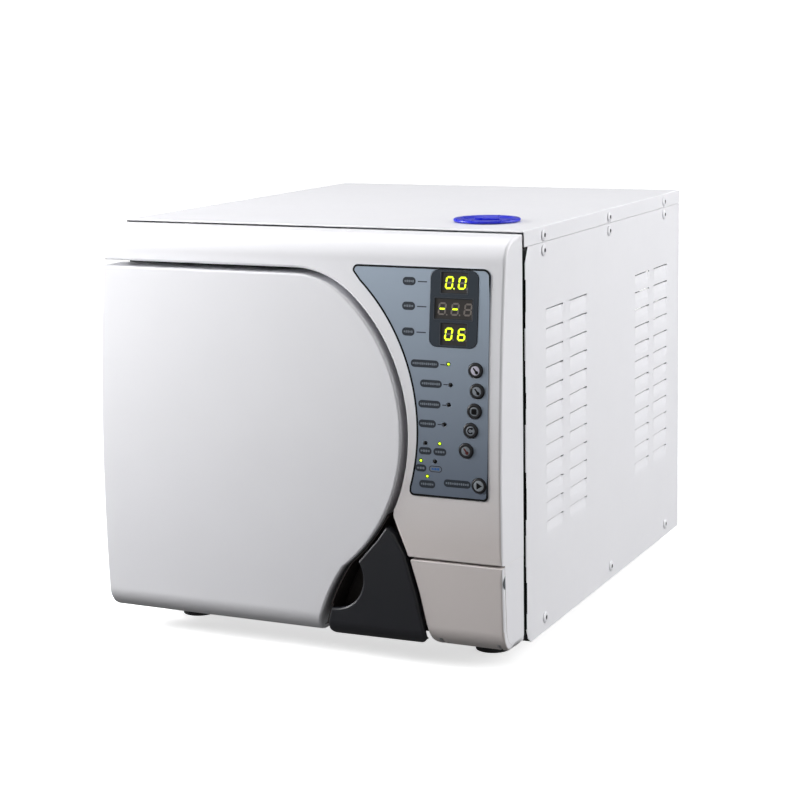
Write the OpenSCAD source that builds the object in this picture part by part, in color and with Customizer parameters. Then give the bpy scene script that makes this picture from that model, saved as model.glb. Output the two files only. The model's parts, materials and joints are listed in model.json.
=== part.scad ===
// Benchtop steam autoclave: a horizontal chamber behind a swing door, in a sheet-metal cabinet.
// Frame: +X right as seen from the front, +Y to the back, +Z up, origin on the table under the centre.
// Every module is drawn in cabinet coordinates: x from the left side, y from the cabinet's front
// plane towards the back, z from the cabinet's underside. cab() moves them to the frame.

/* [Cabinet] */
// Width of the cabinet
cab_w = 445; // [444:1:450]
// Depth of the cabinet behind its front plane
cab_d = 520; // [518:1:530]
// Height of the cabinet from its underside to the top of the cover
cab_h = 410; // [410:1:414]
// Height of the feet
foot_h = 20; // [15:1:30]
// Sheet thickness of the cabinet panels
sheet = 1.2; // [1:0.1:1.4]

/* [Front] */
// How far the door stands in front of the cabinet's front plane
door_reach = 58; // [57:0.5:59]
// How far the fascia stands in front of the cabinet's front plane
fascia_reach = 55; // [54:0.5:55.5]
// Wall thickness of the mouldings
wall = 3; // [2.5:0.1:3.2]
// Radius of the bulge that the front surfaces follow from top to bottom
bulge_r = 1850; // [1800:10:2000]

/* [Chamber] */
// Inner radius of the pressure chamber
chamber_r = 123.5; // [120:0.5:124]
// Length of the chamber
chamber_len = 350; // [340:1:355]
// Wall thickness of the chamber
chamber_wall = 3; // [2.5:0.1:3.2]
// Length of an instrument tray
tray_len = 280; // [270:1:285]

/* [Hidden] */
$fn = 96;
eps = 0.01;
foot_r = 19;
foot_inset = 51.5;
mid_y = 237;                    // centre of the whole object's depth, in cabinet coordinates
axis_x = 165.5;                 // chamber and door arc centre
axis_z = 212;
door_r = 173.5;                 // round right edge of the door
open_r = 178.8;                 // round edge of the fascia around the door
heel = [454.4, -38];            // centre of the hollow edge of the door beside the handle
heel_r = 211.5;
door_z0 = 3.5;
door_z1 = 366;
bar_z = 371.6;                  // underside of the fascia's top bar
bulge_z = 165;                  // height at which the front stands proudest
front_gap = 6.5;                // from the fascia's back to the cabinet
door_back = -8.5;
hinge = [13, -20];              // door hinge axis in plan
hinge_z = [95, 329];            // heights of the two hinge lugs
pivot = [322, -49.5];           // handle pivot axis in plan
EARS = [56, 76];                // undersides of the two ears that hold the handle's pin
ear_h = 4;
latch_z = [83, 93];
cap_c = [375, 80];              // filler neck of the water tank
fan_c = [110, 200];             // fan centre on the rear panel, x and z
valve_c = [250, 346];           // safety valve on the rear panel, x and z
flap_axis = [-40, 14];          // flap hinge axis, y and z
slot_z = 92.5;                  // gap between the fascia and the flap
flap_z1 = 90.6;
lip_z = 406.4;                  // underside of the cover's front lip

// Button places, x and z, in the fascia
KEYS = [[415.4, 281.1], [417.3, 261.4], [414.7, 242.1], [411, 223.3], [406.3, 203.5], [419.4, 170.7]];
key_r = 7.4;
// Indicator lamp places, x and z
LAMPS = [[387.3, 285.6], [389.8, 265.8], [388.2, 246.6], [383.6, 227.3], [363.9, 208], [378.8, 208.5],
         [359, 190.6], [374, 190.6], [365.6, 175.7]];
lamp_r = 1.75;
TRAY_Z = [160, 205, 250];

// ---------- placing and shaping helpers ----------

module cab() translate([-cab_w / 2, -mid_y, foot_h]) children();

// Extrudes an (x, z) outline from y0 to y1
module slab(y0, y1) translate([0, y1, 0]) rotate([90, 0, 0]) linear_extrude(y1 - y0) children();

// Extrudes a (y, z) outline from x0 to x1
module bar(x0, x1) translate([x0, 0, 0]) rotate([90, 0, 90]) linear_extrude(x1 - x0) children();

// A box between two corners
module box(a, b) translate(a) cube([b[0] - a[0], b[1] - a[1], b[2] - a[2]]);

// A rod along Y at (x, z) from y0 to y1
module rod_y(x, z, y0, y1, r) translate([x, y1, z]) rotate([90, 0, 0]) cylinder(r = r, h = y1 - y0);

// A rod along Z at (x, y) from z0 to z1
module rod_z(x, y, z0, z1, r) translate([x, y, z0]) cylinder(r = r, h = z1 - z0);

// A body of revolution about the chamber axis, from a profile of (radius, y) points
module turned(points) translate([axis_x, 0, axis_z]) rotate([-90, 0, 0])
    rotate_extrude() polygon(points);

function arc(c, r, a0, a1, n) = [for (i = [0:n]) let (a = a0 + (a1 - a0) * i / n) c + r * [cos(a), sin(a)]];

// The y of the bulged front at height z, for a front that reaches out by reach
function front_y(z, reach) = -reach + pow(z - bulge_z, 2) / (2 * bulge_r);

// Where the circles (a, ra) and (b, rb) cross, on the left of the way from a to b for side = 1
function crossing(a, ra, b, rb, side) =
    let (d = norm(b - a), u = (b - a) / d, m = (ra * ra - rb * rb + d * d) / (2 * d),
         h = sqrt(ra * ra - m * m))
    a + m * u + side * h * [-u[1], u[0]];

function angle_of(v) = atan2(v[1], v[0]);

// Side profile (y, z) of a front moulding: bulged face, rounded foot of radius foot, straight top
function front_profile(reach, z0, z1, foot, back, inset) =
    let (r = foot - inset, yc = front_y(z0 + foot, reach) + foot, zc = z0 + foot)
    concat([[back, z0 + inset]], arc([yc, zc], r, 270, 180, 8),
        [for (i = [1:14]) let (z = zc + (z1 - inset - zc) * i / 14) [front_y(z, reach) + inset, z]],
        [[back, z1 - inset]]);

// The fascia's profile adds a rounded top edge that rises to the cover
function fascia_profile(inset) =
    let (r = 24 - inset, c = [front_y(380, fascia_reach) + 24, 380], foot = 24,
         yc = front_y(door_z0 + foot, fascia_reach) + foot, zc = door_z0 + foot)
    concat([[-front_gap, door_z0 + inset]], arc([yc, zc], foot - inset, 270, 180, 8),
        [for (i = [1:13]) let (z = zc + (375 - zc) * i / 13) [front_y(z, fascia_reach) + inset, z]],
        arc(c, r, 180, 90, 8), [[-front_gap, cab_h - 4.4 - inset]]);

// Door outline (x, z), pulled in by inset
function door_outline(inset) =
    let (a = [axis_x, axis_z], ra = door_r - inset, rb = heel_r + inset,
         p = crossing(a, ra, heel, rb, -1), z0 = door_z0 + inset, z1 = door_z1 - inset,
         a_top = asin((z1 - axis_z) / ra), a_low = angle_of(p - a),
         h_top = angle_of(p - heel), h_low = 180 - asin((z0 - heel[1]) / rb))
    concat([[inset, z0]], arc(heel, rb, h_low, h_top, 10), arc(a, ra, a_low, a_top, 28),
        [[inset, z1]]);

// The edge that runs down from the fascia's corner along the flap, moved right by shift
function edge_line(shift) =
    [[327.1 + shift, 134.3], [342.6 + shift, 94.7], [353 + shift, 57.5], [360.4 + shift, 21]];

// Fascia outline (x, z) without the door opening, pulled in by inset
function fascia_outline(inset) =
    let (r = open_r + inset, z1 = bar_z + inset, c = [axis_x, axis_z], e = edge_line(inset),
         a_top = asin((z1 - axis_z) / r), a_low = angle_of(e[0] - c))
    concat([[inset, z1]], arc(c, r, a_top, a_low, 24), [e[0], e[1], e[2], e[3]],
        [[366 + inset, 9], [373 + inset, door_z0 + inset], [cab_w - inset, door_z0 + inset],
         [cab_w - inset, cab_h - 4], [inset, cab_h - 4]]);

// Flap outline (x, z) pulled in by inset, out to x1
function flap_outline(inset, x1) =
    let (e = edge_line(1.5 + inset))
    [[e[1][0] + 1, flap_z1 - inset], [e[2][0], 57.5], [e[3][0], 21], [367.5 + inset, 9],
     [375 + inset, -1], [x1 - inset, -1], [x1 - inset, flap_z1 - inset]];

// Outline (x, z) of the space between the door's hollow edge and the fascia, pulled in by inset
function recess_outline(inset) =
    let (a = [axis_x, axis_z], ra = door_r + 0.4 + inset, rb = heel_r - 0.4 - inset,
         p = crossing(a, ra, heel, rb, -1), e = edge_line(-2 - inset), z0 = 14 + inset,
         h_low = 180 - asin((z0 - heel[1]) / rb), a_tip = -27.3 + inset * 0.4)
    concat([[e[3][0] + 1.5, z0]], arc(heel, rb, h_low, angle_of(p - heel), 10),
        arc(a, ra, angle_of(p - a), a_tip, 8), [e[1], e[2], e[3]]);

// Handle outline (x, z): a tall leaf with a finger scoop on its left side
function handle_outline() =
    let (e = edge_line(-2.5), scoop = [261.6, 67.5], r = 33)
    concat([[329.5, 114], [325, 120.3], [322.6, 120.6], [313.4, 108.5]],
        arc(scoop, r, 31, -95, 12), [[254.8, 24.5], [252.6, 14.5]],
        arc([258.5, 12.5], 5.5, 180, 270, 4), [[356, 8.5], [358.4, 12]], [e[3], e[2], e[1]]);

// Overlay outline (x, z), pulled in by inset
function overlay_outline(inset) =
    let (c = [160.6, 218], r = 193.8 + inset)
    concat(arc([423.3, 372], 5.4 - inset, 0, 90, 4), arc([289, 372], 5.4 - inset, 90, 200, 4),
        arc(c, r, 47.5, -16, 20), arc([351.5, 162], 5 - inset, 190, 270, 4),
        arc([423, 162], 5 - inset, 270, 360, 4));

// A rounded rectangle outline between two corners
function round_rect(a, b, r) = concat(
    arc([b[0] - r, b[1] - r], r, 0, 90, 5), arc([a[0] + r, b[1] - r], r, 90, 180, 5),
    arc([a[0] + r, a[1] + r], r, 180, 270, 5), arc([b[0] - r, a[1] + r], r, 270, 360, 5));

// ---------- cabinet ----------

module base_pan() cab() color("gainsboro") difference() {
    union() {
        difference() {
            box([1.6, 16.5, 0], [cab_w - 1.6, cab_d - 1.8, 25]);
            box([3.1, 18, 1.5], [cab_w - 3.1, cab_d - 3.3, 26]);
        }
        // saddle under the back of the chamber
        box([95, 250, 1], [236, 254, 105]);
    }
    rod_y(axis_x, axis_z, 240, 260, 150.4);
    for (i = [0:5]) box([60 + i * 24, 130, -1], [70 + i * 24, 230, 2]);
    box([369, 16, 14.4], [439, 19, 26]);
    for (x = [foot_inset, cab_w - foot_inset], y = [42, cab_d - 42]) rod_z(x, y, -1, 2, 2.2);
    for (s = SIDE_SCREWS) translate([-1, s[0], s[1]]) rotate([0, 90, 0]) cylinder(r = 2, h = cab_w + 2);
}

module front_frame() cab() color([0.1, 0.1, 0.1]) difference() {
    union() {
        box([1.6, 0, 13], [cab_w - 1.6, 1.5, 392]);
        box([1.6, 1.5, 390.5], [cab_w - 1.6, 14, 392]);
        bar(1.6, cab_w - 1.6) polygon([[0, 13], [1.5, 13.8], [16.2, 1.6], [16.2, 0]]);
    }
    rod_y(axis_x, axis_z, -1, 3, 143);
    box([334, -1, 110], [430, 3, 380]);
    box([368.5, -1, 13.9], [439.5, 3, 88]);
    for (z = hinge_z) box([5.4, -1, z - 12.6], [20.6, 3, z + 12.6]);
}

module vent_slots(x0, x1, z0, rows, pitch) for (i = [0:rows - 1])
    box([x0, cab_d - 3, z0 + i * pitch], [x1, cab_d + 1, z0 + i * pitch + 4]);

module rear_panel() cab() color("gainsboro") difference() {
    box([1.6, cab_d - 1.5, 0], [cab_w - 1.6, cab_d, 393.8]);
    rod_y(fan_c[0], fan_c[1], cab_d - 3, cab_d + 1, 57);
    rod_y(valve_c[0], valve_c[1], cab_d - 3, cab_d + 1, 8.6);
    box([285.8, cab_d - 3, 40.8], [314.2, cab_d + 1, 88.2]);
    vent_slots(340, 420, 250, 9, 12);
    for (x = [14, 222, 431], z = [30, 386]) rod_y(x, z, cab_d - 3, cab_d + 1, 2);
    for (x = [205, 315], z = [236, 324]) rod_y(x, z, cab_d - 3, cab_d + 1, 1.6);
}

louvre_h = 12;
louvre_pitch = 19.6;
louvre_rows = 12;
LOUVRE_Y = [[60, 110], [130, 183], [348, 400], [418, 470]];
SIDE_SCREWS = [[53, 386], [256, 386], [457, 386], [54, 14.5], [262, 14.5], [465, 14.5]];
COVER_SCREWS = [[53, 401], [256, 401], [457, 401]];

function louvre_z(i) = 327 - louvre_h - i * louvre_pitch;

// One side panel with its louvres pressed inwards, as the left panel
module side_panel() {
    difference() {
        bar(0, sheet) polygon([[0, 13], [16, 0], [cab_d, 0], [cab_d, 394], [0, 394]]);
        for (c = LOUVRE_Y, i = [0:louvre_rows - 1])
            box([-1, c[0], louvre_z(i)], [sheet + 1, c[1], louvre_z(i) + louvre_h]);
        for (s = SIDE_SCREWS) translate([-1, s[0], s[1]]) rotate([0, 90, 0]) cylinder(r = 2, h = 4);
    }
    for (c = LOUVRE_Y, i = [0:louvre_rows - 1])
        slab(c[0], c[1]) polygon([[0, louvre_z(i)], [sheet, louvre_z(i)],
            [sheet + 5, louvre_z(i) + louvre_h], [sheet + 4, louvre_z(i) + louvre_h]]);
}

module side_panel_left() cab() color("whitesmoke") side_panel();

module side_panel_right() cab() color("whitesmoke")
    translate([cab_w, 0, 0]) mirror([1, 0, 0]) side_panel();

module top_cover() cab() color("whitesmoke") difference() {
    box([0, 0, 394.3], [cab_w, cab_d, cab_h]);
    box([sheet, sheet, 394], [cab_w - sheet, cab_d - sheet, cab_h - sheet]);
    // the front lip is short, over a dark gap
    box([sheet, -1, 394], [cab_w - sheet, sheet + 1, lip_z]);
    rod_z(cap_c[0], cap_c[1], cab_h - 3, cab_h + 1, 30.4);
    for (s = COVER_SCREWS) translate([-1, s[0], s[1]]) rotate([0, 90, 0])
        cylinder(r = 2, h = cab_w + 2);
}

// A pan-head screw through a left side panel at (y, z)
module pan_screw(y, z) translate([0, y, z]) rotate([0, 90, 0]) {
    difference() {
        translate([0, 0, -2.2]) cylinder(r1 = 4.6, r2 = 6, h = 2.2);
        for (a = [0, 90]) rotate([0, 0, a]) translate([-3, -0.6, -3]) cube([6, 1.2, 2]);
    }
    cylinder(r = 1.75, h = 7);
}

module cover_screws() cab() color("white") {
    for (s = concat(SIDE_SCREWS, COVER_SCREWS)) {
        pan_screw(s[0], s[1]);
        translate([cab_w, 0, 0]) mirror([1, 0, 0]) pan_screw(s[0], s[1]);
    }
    for (x = [14, 222, 431], z = [30, 386])
        translate([x, cab_d, z]) rotate([0, 0, -90]) pan_screw(0, 0);
}

module feet() cab() color([0.1, 0.1, 0.1])
    for (x = [foot_inset, cab_w - foot_inset], y = [42, cab_d - 42]) translate([x, y, -foot_h]) difference() {
        cylinder(r1 = foot_r - 1.5, r2 = foot_r, h = foot_h);
        translate([0, 0, -1]) cylinder(r = 8, h = 9);
        cylinder(r = 2.2, h = foot_h + 1);
    }

// ---------- fascia and controls ----------

module bulged_shell(profile_points, outline_points, y0) intersection() {
    bar(-1, cab_w + 1) polygon(profile_points);
    slab(-70, y0) polygon(outline_points);
}

module fascia() cab() color("whitesmoke") difference() {
    bulged_shell(fascia_profile(0), fascia_outline(0), -front_gap);
    intersection() {
        bar(-1, cab_w + 1) polygon(fascia_profile(wall));
        slab(-70, -front_gap + eps) polygon(fascia_outline(wall));
    }
    box([wall, -20, bar_z + wall], [cab_w - wall, -front_gap + eps, cab_h - 4.4 - wall]);
    box([380, -20, slot_z + wall], [cab_w - wall, -front_gap + eps, 380]);
    // the service bay, which leaves the right side wall
    box([330, -70, -1], [cab_w - wall - 0.5, -front_gap + eps, slot_z]);
    box([330, -70, -1], [cab_w + 1, -48.6, slot_z]);
    for (k = KEYS) rod_y(k[0], k[1], -70, -40, key_r + 0.5);
    for (p = LAMPS) rod_y(p[0], p[1], -70, -40, lamp_r + 0.35);
    slab(-70, -40) polygon(round_rect([369, 305], [414.6, 373.6], 5));
}

WINDOW = [[364.8, 302.3], [418.8, 376.4]];

// A thin sheet of thickness t that lies on the fascia's front within an (x, z) outline
module fascia_skin(t) difference() {
    intersection() {
        translate([0, -t, 0]) bar(250, 435) polygon(fascia_profile(0));
        slab(-70, -35) children();
    }
    bar(240, 445) polygon(fascia_profile(0));
}

module control_overlay() cab() color("slategray") difference() {
    fascia_skin(0.6) polygon(overlay_outline(0));
    for (k = KEYS) rod_y(k[0], k[1], -70, -40, key_r + 0.5);
    for (p = LAMPS) rod_y(p[0], p[1], -70, -40, lamp_r + 0.35);
    slab(-70, -40) polygon(round_rect(WINDOW[0] - [0.2, 0.2], WINDOW[1] + [0.2, 0.2], 8));
}

module display_window() cab() color("darkslategray")
    fascia_skin(1) polygon(round_rect(WINDOW[0], WINDOW[1], 8));

board_y = -38;

module display_board() cab() color("darkgreen") {
    difference() {
        box([336, board_y, 150], [434, board_y + 1.6, 368]);
        for (x = [356, 430], z = [156, 362]) rod_y(x, z, board_y - 1, board_y + 3, 1.6);
        box([335, board_y - 1, 149], [350, board_y + 3, 278]);
    }
    for (r = [[360.5, 380.3, 2], [336, 375, 3], [310.8, 380.3, 2]], i = [0:r[2] - 1])
        box([r[1] + i * 13, board_y - 5.5, r[0] - 9], [r[1] + i * 13 + 12.2, board_y, r[0] + 7]);
    box([352, board_y + 1.6, 170], [420, board_y + 14, 182]);
    box([360, board_y + 1.6, 220], [378, board_y + 5, 238]);
}

module key_switches() cab() color("dimgray") for (k = KEYS) {
    box([k[0] - 6, board_y - 4.5, k[1] - 6], [k[0] + 6, board_y, k[1] + 6]);
    rod_y(k[0], k[1], board_y - 6, board_y - 4.5, 3);
}

module indicator_lamps() cab() color("yellowgreen") for (p = LAMPS)
    rod_y(p[0], p[1], front_y(p[1], fascia_reach) - 0.9, board_y, lamp_r);

// A push key at place i: a cap with a retaining rim behind the fascia wall
module key(i) {
    k = KEYS[i];
    face = front_y(k[1], fascia_reach);
    rod_y(k[0], k[1], face - 1.8, board_y - 7.2, key_r);
    rod_y(k[0], k[1], face + wall + 1.2, board_y - 7.2, key_r + 1.6);
}

module button_display() cab() color("lightgray") key(0);
module button_program_up() cab() color("lightgray") key(1);
module button_program_down() cab() color("lightgray") key(2);
module button_dry() cab() color("lightgray") key(3);
module button_temperature() cab() color("lightgray") key(4);
module start_button() cab() color("lightgray") key(5);

// ---------- hinge and latch on the cabinet ----------

hinge_hole_r = 4.06;
hinge_pin_r = 4;

module hinge_brackets() cab() color("silver") for (z = hinge_z) difference() {
    union() {
        box([4, 1.6, z - 27], [44, 6, z + 27]);
        box([hinge[0] - 7, hinge[1], z - 12], [hinge[0] + 7, 1.6, z + 12]);
        rod_z(hinge[0], hinge[1], z - 12, z + 12, 9);
    }
    rod_z(hinge[0], hinge[1], z - 13, z + 13, hinge_hole_r);
    for (dz = [-20, 20]) rod_y(34, z + dz, 0, 8, 2.7);
}

module hinge_pins() cab() color("lightsteelblue") for (z = hinge_z)
    rod_z(hinge[0], hinge[1], z - 34, z + 34, hinge_pin_r);

module latch_keeper() cab() color("silver") difference() {
    union() {
        box([257, -3, 74], [272, 0, 100]);
        box([265, -24, 76], [270, -3, 98]);
        box([256, -24, 76], [265, -20.5, 98]);
    }
    for (z = [79, 95]) rod_y(261, z, -4, 1, 2);
}

// ---------- door ----------

module door_cover() cab() color("whitesmoke") difference() {
    bulged_shell(front_profile(door_reach, door_z0, door_z1, 25, door_back, 0), door_outline(0), door_back);
    intersection() {
        bar(-1, cab_w) polygon(front_profile(door_reach, door_z0, door_z1, 25, door_back + 5, wall));
        slab(-70, door_back + eps) polygon(door_outline(wall));
    }
    for (z = hinge_z) box([-1, -34, z - 13], [wall + 1, door_back + 1, z + 13]);
    box([268, -34, latch_z[0] - 1], [300, -25, latch_z[1] + 1]);
}

plate_y = [-45, -37];
strap_y = -43.4;

module door_plate() cab() color("darkgray") difference() {
    union() {
        rod_y(axis_x, axis_z, plate_y[0], plate_y[1], 128);
        box([196, plate_y[0], 78], [248, plate_y[1], 110]);
        box([214, plate_y[1], 78], [234, -20, 98]);
        for (z = hinge_z) box([30, strap_y, z - 33], [70, plate_y[1], z + 33]);
        for (z = hinge_z, s = [-1, 1]) {
            box([hinge[0] - 9, strap_y, z + s * 23 - 10], [100, plate_y[1], z + s * 23 + 10]);
            box([hinge[0] - 9, plate_y[1], z + s * 23 - 10], [hinge[0] + 9, hinge[1], z + s * 23 + 10]);
            rod_z(hinge[0], hinge[1], z + s * 23 - 10, z + s * 23 + 10, 9);
        }
    }
    for (z = hinge_z) rod_z(hinge[0], hinge[1], z - 34, z + 34, hinge_hole_r);
    box([213, -33.4, latch_z[0] - 0.4], [235, -25.6, latch_z[1] + 0.4]);
    for (a = [0:60:300]) rod_y(axis_x + 85 * cos(a), axis_z + 85 * sin(a), -46, -36, 16);
}

plug_r = chamber_r - 5.5;

module pressure_disc() cab() color("silver") turned([[0, plate_y[1]], [45, plate_y[1]], [45, -26],
    [118, -14], [129, -14], [129, -6], [plug_r, -6], [plug_r, 1], [plug_r - 2, 3], [plug_r - 8, 3],
    [plug_r - 14, -2], [60, -5], [0, -6]]);

module door_seal() cab() color([0.8, 0.3, 0.2]) turned([[chamber_r + 1, -6], [chamber_r + 5, -6],
    [chamber_r + 5, -3.2], [chamber_r + 4, -2.3], [chamber_r + 2, -2.3], [chamber_r + 1, -3.2]]);

module door_liner() cab() color("dimgray") difference() {
    slab(-11.3, door_back) polygon(door_outline(wall + 0.3));
    rod_y(axis_x, axis_z, -12, -8, 131);
    box([0, -12, 0], [27, -8, 380]);
    box([232, -12, 72], [300, -8, 102]);
}

// Black cup behind the handle: the finger cavity, with two ears that hold the handle's pin
module handle_recess() cab() color([0.12, 0.11, 0.1]) difference() {
    union() {
        difference() {
            slab(-50, -12) polygon(recess_outline(0));
            slab(-60, -14) polygon(recess_outline(1.6));
            // the right wall stays short, to let the handle swing in
            slab(-60, -31.4) polygon([[300, 0], [330, 140], [380, 140], [380, 0]]);
            // the floor stays behind the handle's foot
            box([250, -60, 13], [380, -45.3, 36]);
        }
        for (z = EARS) {
            box([pivot[0] - 2.9, pivot[1], z], [pivot[0] + 2.9, -13.9, z + ear_h]);
            rod_z(pivot[0], pivot[1], z, z + ear_h, 2.9);
        }
    }
    for (z = EARS) rod_z(pivot[0], pivot[1], z - 1, z + ear_h + 1, 1.8);
    box([262, -34, latch_z[0] - 1], [300, -25, latch_z[1] + 1]);
}

crank_y = pivot[1] + 25;

module door_handle() cab() color([0.14, 0.14, 0.16]) difference() {
    union() {
        bulged_shell(front_profile(door_reach - 0.8, 6, 130, 20, -46, 0), handle_outline(), -46);
        intersection() {
            bulged_shell(front_profile(door_reach - 0.8, 6, 130, 20, -34, 0), handle_outline(), -34);
            box([240, -70, 0], [380, -30, 12.5]);
        }
        box([pivot[0] - 5, -47, 95], [pivot[0] + 5, crank_y + 4, 99]);
        rod_z(pivot[0], crank_y, 84, 95, 2.5);
    }
    rod_z(pivot[0], pivot[1], EARS[0] - 2.2, EARS[1] + ear_h + 2.2, 1.8);
    for (z = EARS) box([pivot[0] - 8, pivot[1] - 3.3, z - 0.6], [pivot[0] + 8, -45, z + ear_h + 0.6]);
}

module handle_pivot_pin() cab() color("silver") rod_z(pivot[0], pivot[1], EARS[0] - 2, EARS[1] + ear_h + 2, 1.74);

// J-shaped hook bolt that slides to the left when the handle is pulled
module latch_bolt() cab() color("silver") difference() {
    translate([0, 0, latch_z[0]]) linear_extrude(latch_z[1] - latch_z[0]) polygon([
        [200, -33], [330, -33], [330, -17], [314, -17], [314, -26], [254.5, -26], [254.5, -19.5],
        [263, -19.5], [263, -13], [248, -13], [248, -26], [200, -26]]);
    box([pivot[0] - 2.8, crank_y - 5.5, latch_z[0] - 1], [pivot[0] + 2.8, crank_y + 4, latch_z[1] + 1]);
}

// ---------- chamber ----------

module chamber_vessel() cab() color("silver") let (r = chamber_r, w = chamber_wall, l = chamber_len)
    turned(concat([[r, -2], [r + w, -2], [r + w, l - 30]], arc([r + w - 34, l - 30], 34, 0, 80, 8),
        [[0, l + 9], [0, l + 9 - w]], arc([r - 31, l - 30], 31, 80, 0, 8)));

module chamber_flange() cab() color("silver") difference() {
    turned([[chamber_r + chamber_wall + 0.1, -2], [141.5, -2], [142, -1.5], [142, 10],
        [chamber_r + chamber_wall + 0.1, 10]]);
    for (a = [22.5:45:360]) rod_y(axis_x + 135 * cos(a), axis_z + 135 * sin(a), 4, 11, 2.5);
}

module insulation() cab() color("khaki")
    turned([[130.5, 14], [150, 14], [150, chamber_len - 34], [130.5, chamber_len - 34]]);

module band_heater() cab() color("slategray")
    turned([[126.7, 90], [129.5, 90], [129.5, 290], [126.7, 290]]);

rack_x = 74;

module tray_rack() cab() color("silver") for (s = [-1, 1]) translate([axis_x, 0, 0])
    mirror([s < 0 ? 1 : 0, 0, 0]) {
        difference() {
            box([rack_x, 16, 140], [rack_x + 1.2, 334, 284]);
            for (z = TRAY_Z, y = [30, 110, 190, 270])
                box([rack_x - 1, y, z + 8], [rack_x + 3, y + 50, z + 26]);
        }
        for (z = TRAY_Z) box([rack_x - 7, 16, z - 2.2], [rack_x, 334, z - 1.2]);
        for (y = [20, 326]) {
            box([0, y, 142], [rack_x, y + 4, 146]);
            box([0, y, 278], [rack_x, y + 4, 282]);
        }
    }

// A perforated instrument tray standing on the rails at height z
module tray(z) let (w = 71, y0 = 50) difference() {
    box([axis_x - w, y0, z - 1.1], [axis_x + w, y0 + tray_len, z + 15]);
    box([axis_x - w + 1, y0 + 1, z], [axis_x + w - 1, y0 + tray_len - 1, z + 16]);
    for (i = [0:4], j = [0:7]) rod_z(axis_x - 48 + i * 24, y0 + 32 + j * 31, z - 2, z + 1, 4);
}

module tray_lower() cab() color("silver") tray(TRAY_Z[0]);
module tray_middle() cab() color("silver") tray(TRAY_Z[1]);
module tray_upper() cab() color("silver") tray(TRAY_Z[2]);

// ---------- works inside the cabinet ----------

module steam_generator() cab() color("silver") {
    rod_z(384, 440, 30, 200, 40);
    rod_z(384, 440, 200, 206, 44);
    for (a = [0:60:300]) rod_z(384 + 34 * cos(a), 440 + 34 * sin(a), 206, 212, 4);
    for (x = [350, 414]) box([x, 430, 1.5], [x + 6, 450, 30]);
    box([350, 430, 28], [420, 450, 30]);
}

module vacuum_pump() cab() color("dimgray") {
    rod_y(388, 75, 250, 340, 34);
    box([350, 262, 1.5], [426, 328, 46]);
    for (y = [262, 312]) {
        box([362, y, 108], [414, y + 24, 140]);
        box([372, y + 3, 75], [404, y + 21, 108]);
    }
}

module condenser() cab() color("silver") {
    for (i = [0:13]) box([52 + i * 9, 452, 140], [53.2 + i * 9, 484, 260]);
    for (z = [150, 200, 250]) box([46, 462, z - 5], [176, 474, z + 5]);
    for (x = [40, 176]) box([x, 450, 130], [x + 6, 486, 270]);
}

module fan_frame() cab() color([0.15, 0.15, 0.15]) difference() {
    union() {
        difference() {
            box([fan_c[0] - 59.5, 492, fan_c[1] - 59.5], [fan_c[0] + 59.5, 517, fan_c[1] + 59.5]);
            rod_y(fan_c[0], fan_c[1], 491, 518, 57);
        }
        for (a = [0:45:135]) translate([fan_c[0], 492, fan_c[1]]) rotate([0, a, 0])
            box([-58, 0, -1.5], [58, 3, 1.5]);
        rod_y(fan_c[0], fan_c[1], 492, 496, 20);
    }
    for (x = [-52.5, 52.5], z = [-52.5, 52.5]) rod_y(fan_c[0] + x, fan_c[1] + z, 491, 518, 2.2);
}

module fan_rotor() cab() color([0.2, 0.2, 0.2]) translate([fan_c[0], 0, fan_c[1]]) rotate([-90, 0, 0]) {
    translate([0, 0, 497]) cylinder(r = 20, h = 16);
    for (a = [0:360 / 7:359]) rotate([0, 0, a]) translate([18, 0, 505]) rotate([35, 0, 0])
        translate([0, -9, -1]) cube([35, 18, 2]);
}

module fan_guard() cab() color("silver") translate([fan_c[0], cab_d, fan_c[1]]) rotate([-90, 0, 0]) {
    for (r = [14, 28, 42, 56]) rotate_extrude() translate([r, 2]) square([2, 2]);
    for (a = [0, 90]) rotate([0, 0, a]) translate([-70, -1.2, 0]) cube([140, 2.4, 2]);
    cylinder(r = 5, h = 4);
}

tank = [[331, 22, 264], [437, 228, 390]];

module water_tank() cab() color([0.85, 0.88, 0.9]) difference() {
    union() {
        box(tank[0], tank[1]);
        rod_z(cap_c[0], cap_c[1], tank[1][2], cab_h + 0.2, 29.6);
        rod_z(cap_c[0], cap_c[1], cab_h - 4, cab_h - sheet - 0.1, 34);
    }
    box(tank[0] + [2.5, 2.5, 2.5], tank[1] - [2.5, 2.5, 2.5]);
    rod_z(cap_c[0], cap_c[1], tank[1][2] - 5, cab_h + 2, 27);
}

module tank_cap() cab() color("blue") translate([cap_c[0], cap_c[1], cab_h]) {
    difference() {
        rotate_extrude() polygon(concat([[0, 0.5], [33, 0.5]], arc([32.4, 2.1], 1.6, -60, 90, 6),
            [[27, 3.9], [25, 3.2], [0, 2.6]]));
        translate([0, 0, -1]) cylinder(r = 8, h = 1.6);
    }
    difference() {
        translate([0, 0, -9]) cylinder(r = 25.5, h = 9.5 + eps);
        translate([0, 0, -10]) cylinder(r = 23.5, h = 10);
    }
    box([-14, -2.5, 2.4], [14, 2.5, 4.4]);
}

// Round tube through a list of points, with a wider round fitting at each bend
module tube(points, r) for (i = [0:len(points) - 2]) {
    a = points[i];
    d = points[i + 1] - a;
    translate(a) rotate([0, acos(d[2] / norm(d)), atan2(d[1], d[0])]) {
        cylinder(r = r, h = norm(d));
        if (i > 0) translate([0, 0, -r * 1.5]) cylinder(r = r * 1.4, h = r * 3);
    }
}

module steam_pipe() cab() color("chocolate")
    tube([[384, 440, 212.2], [384, 440, 240], [384, 400, 240], [axis_x, 400, 240], [axis_x, 400, 212],
        [axis_x, chamber_len + 9.2, 212]], 4);

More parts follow.
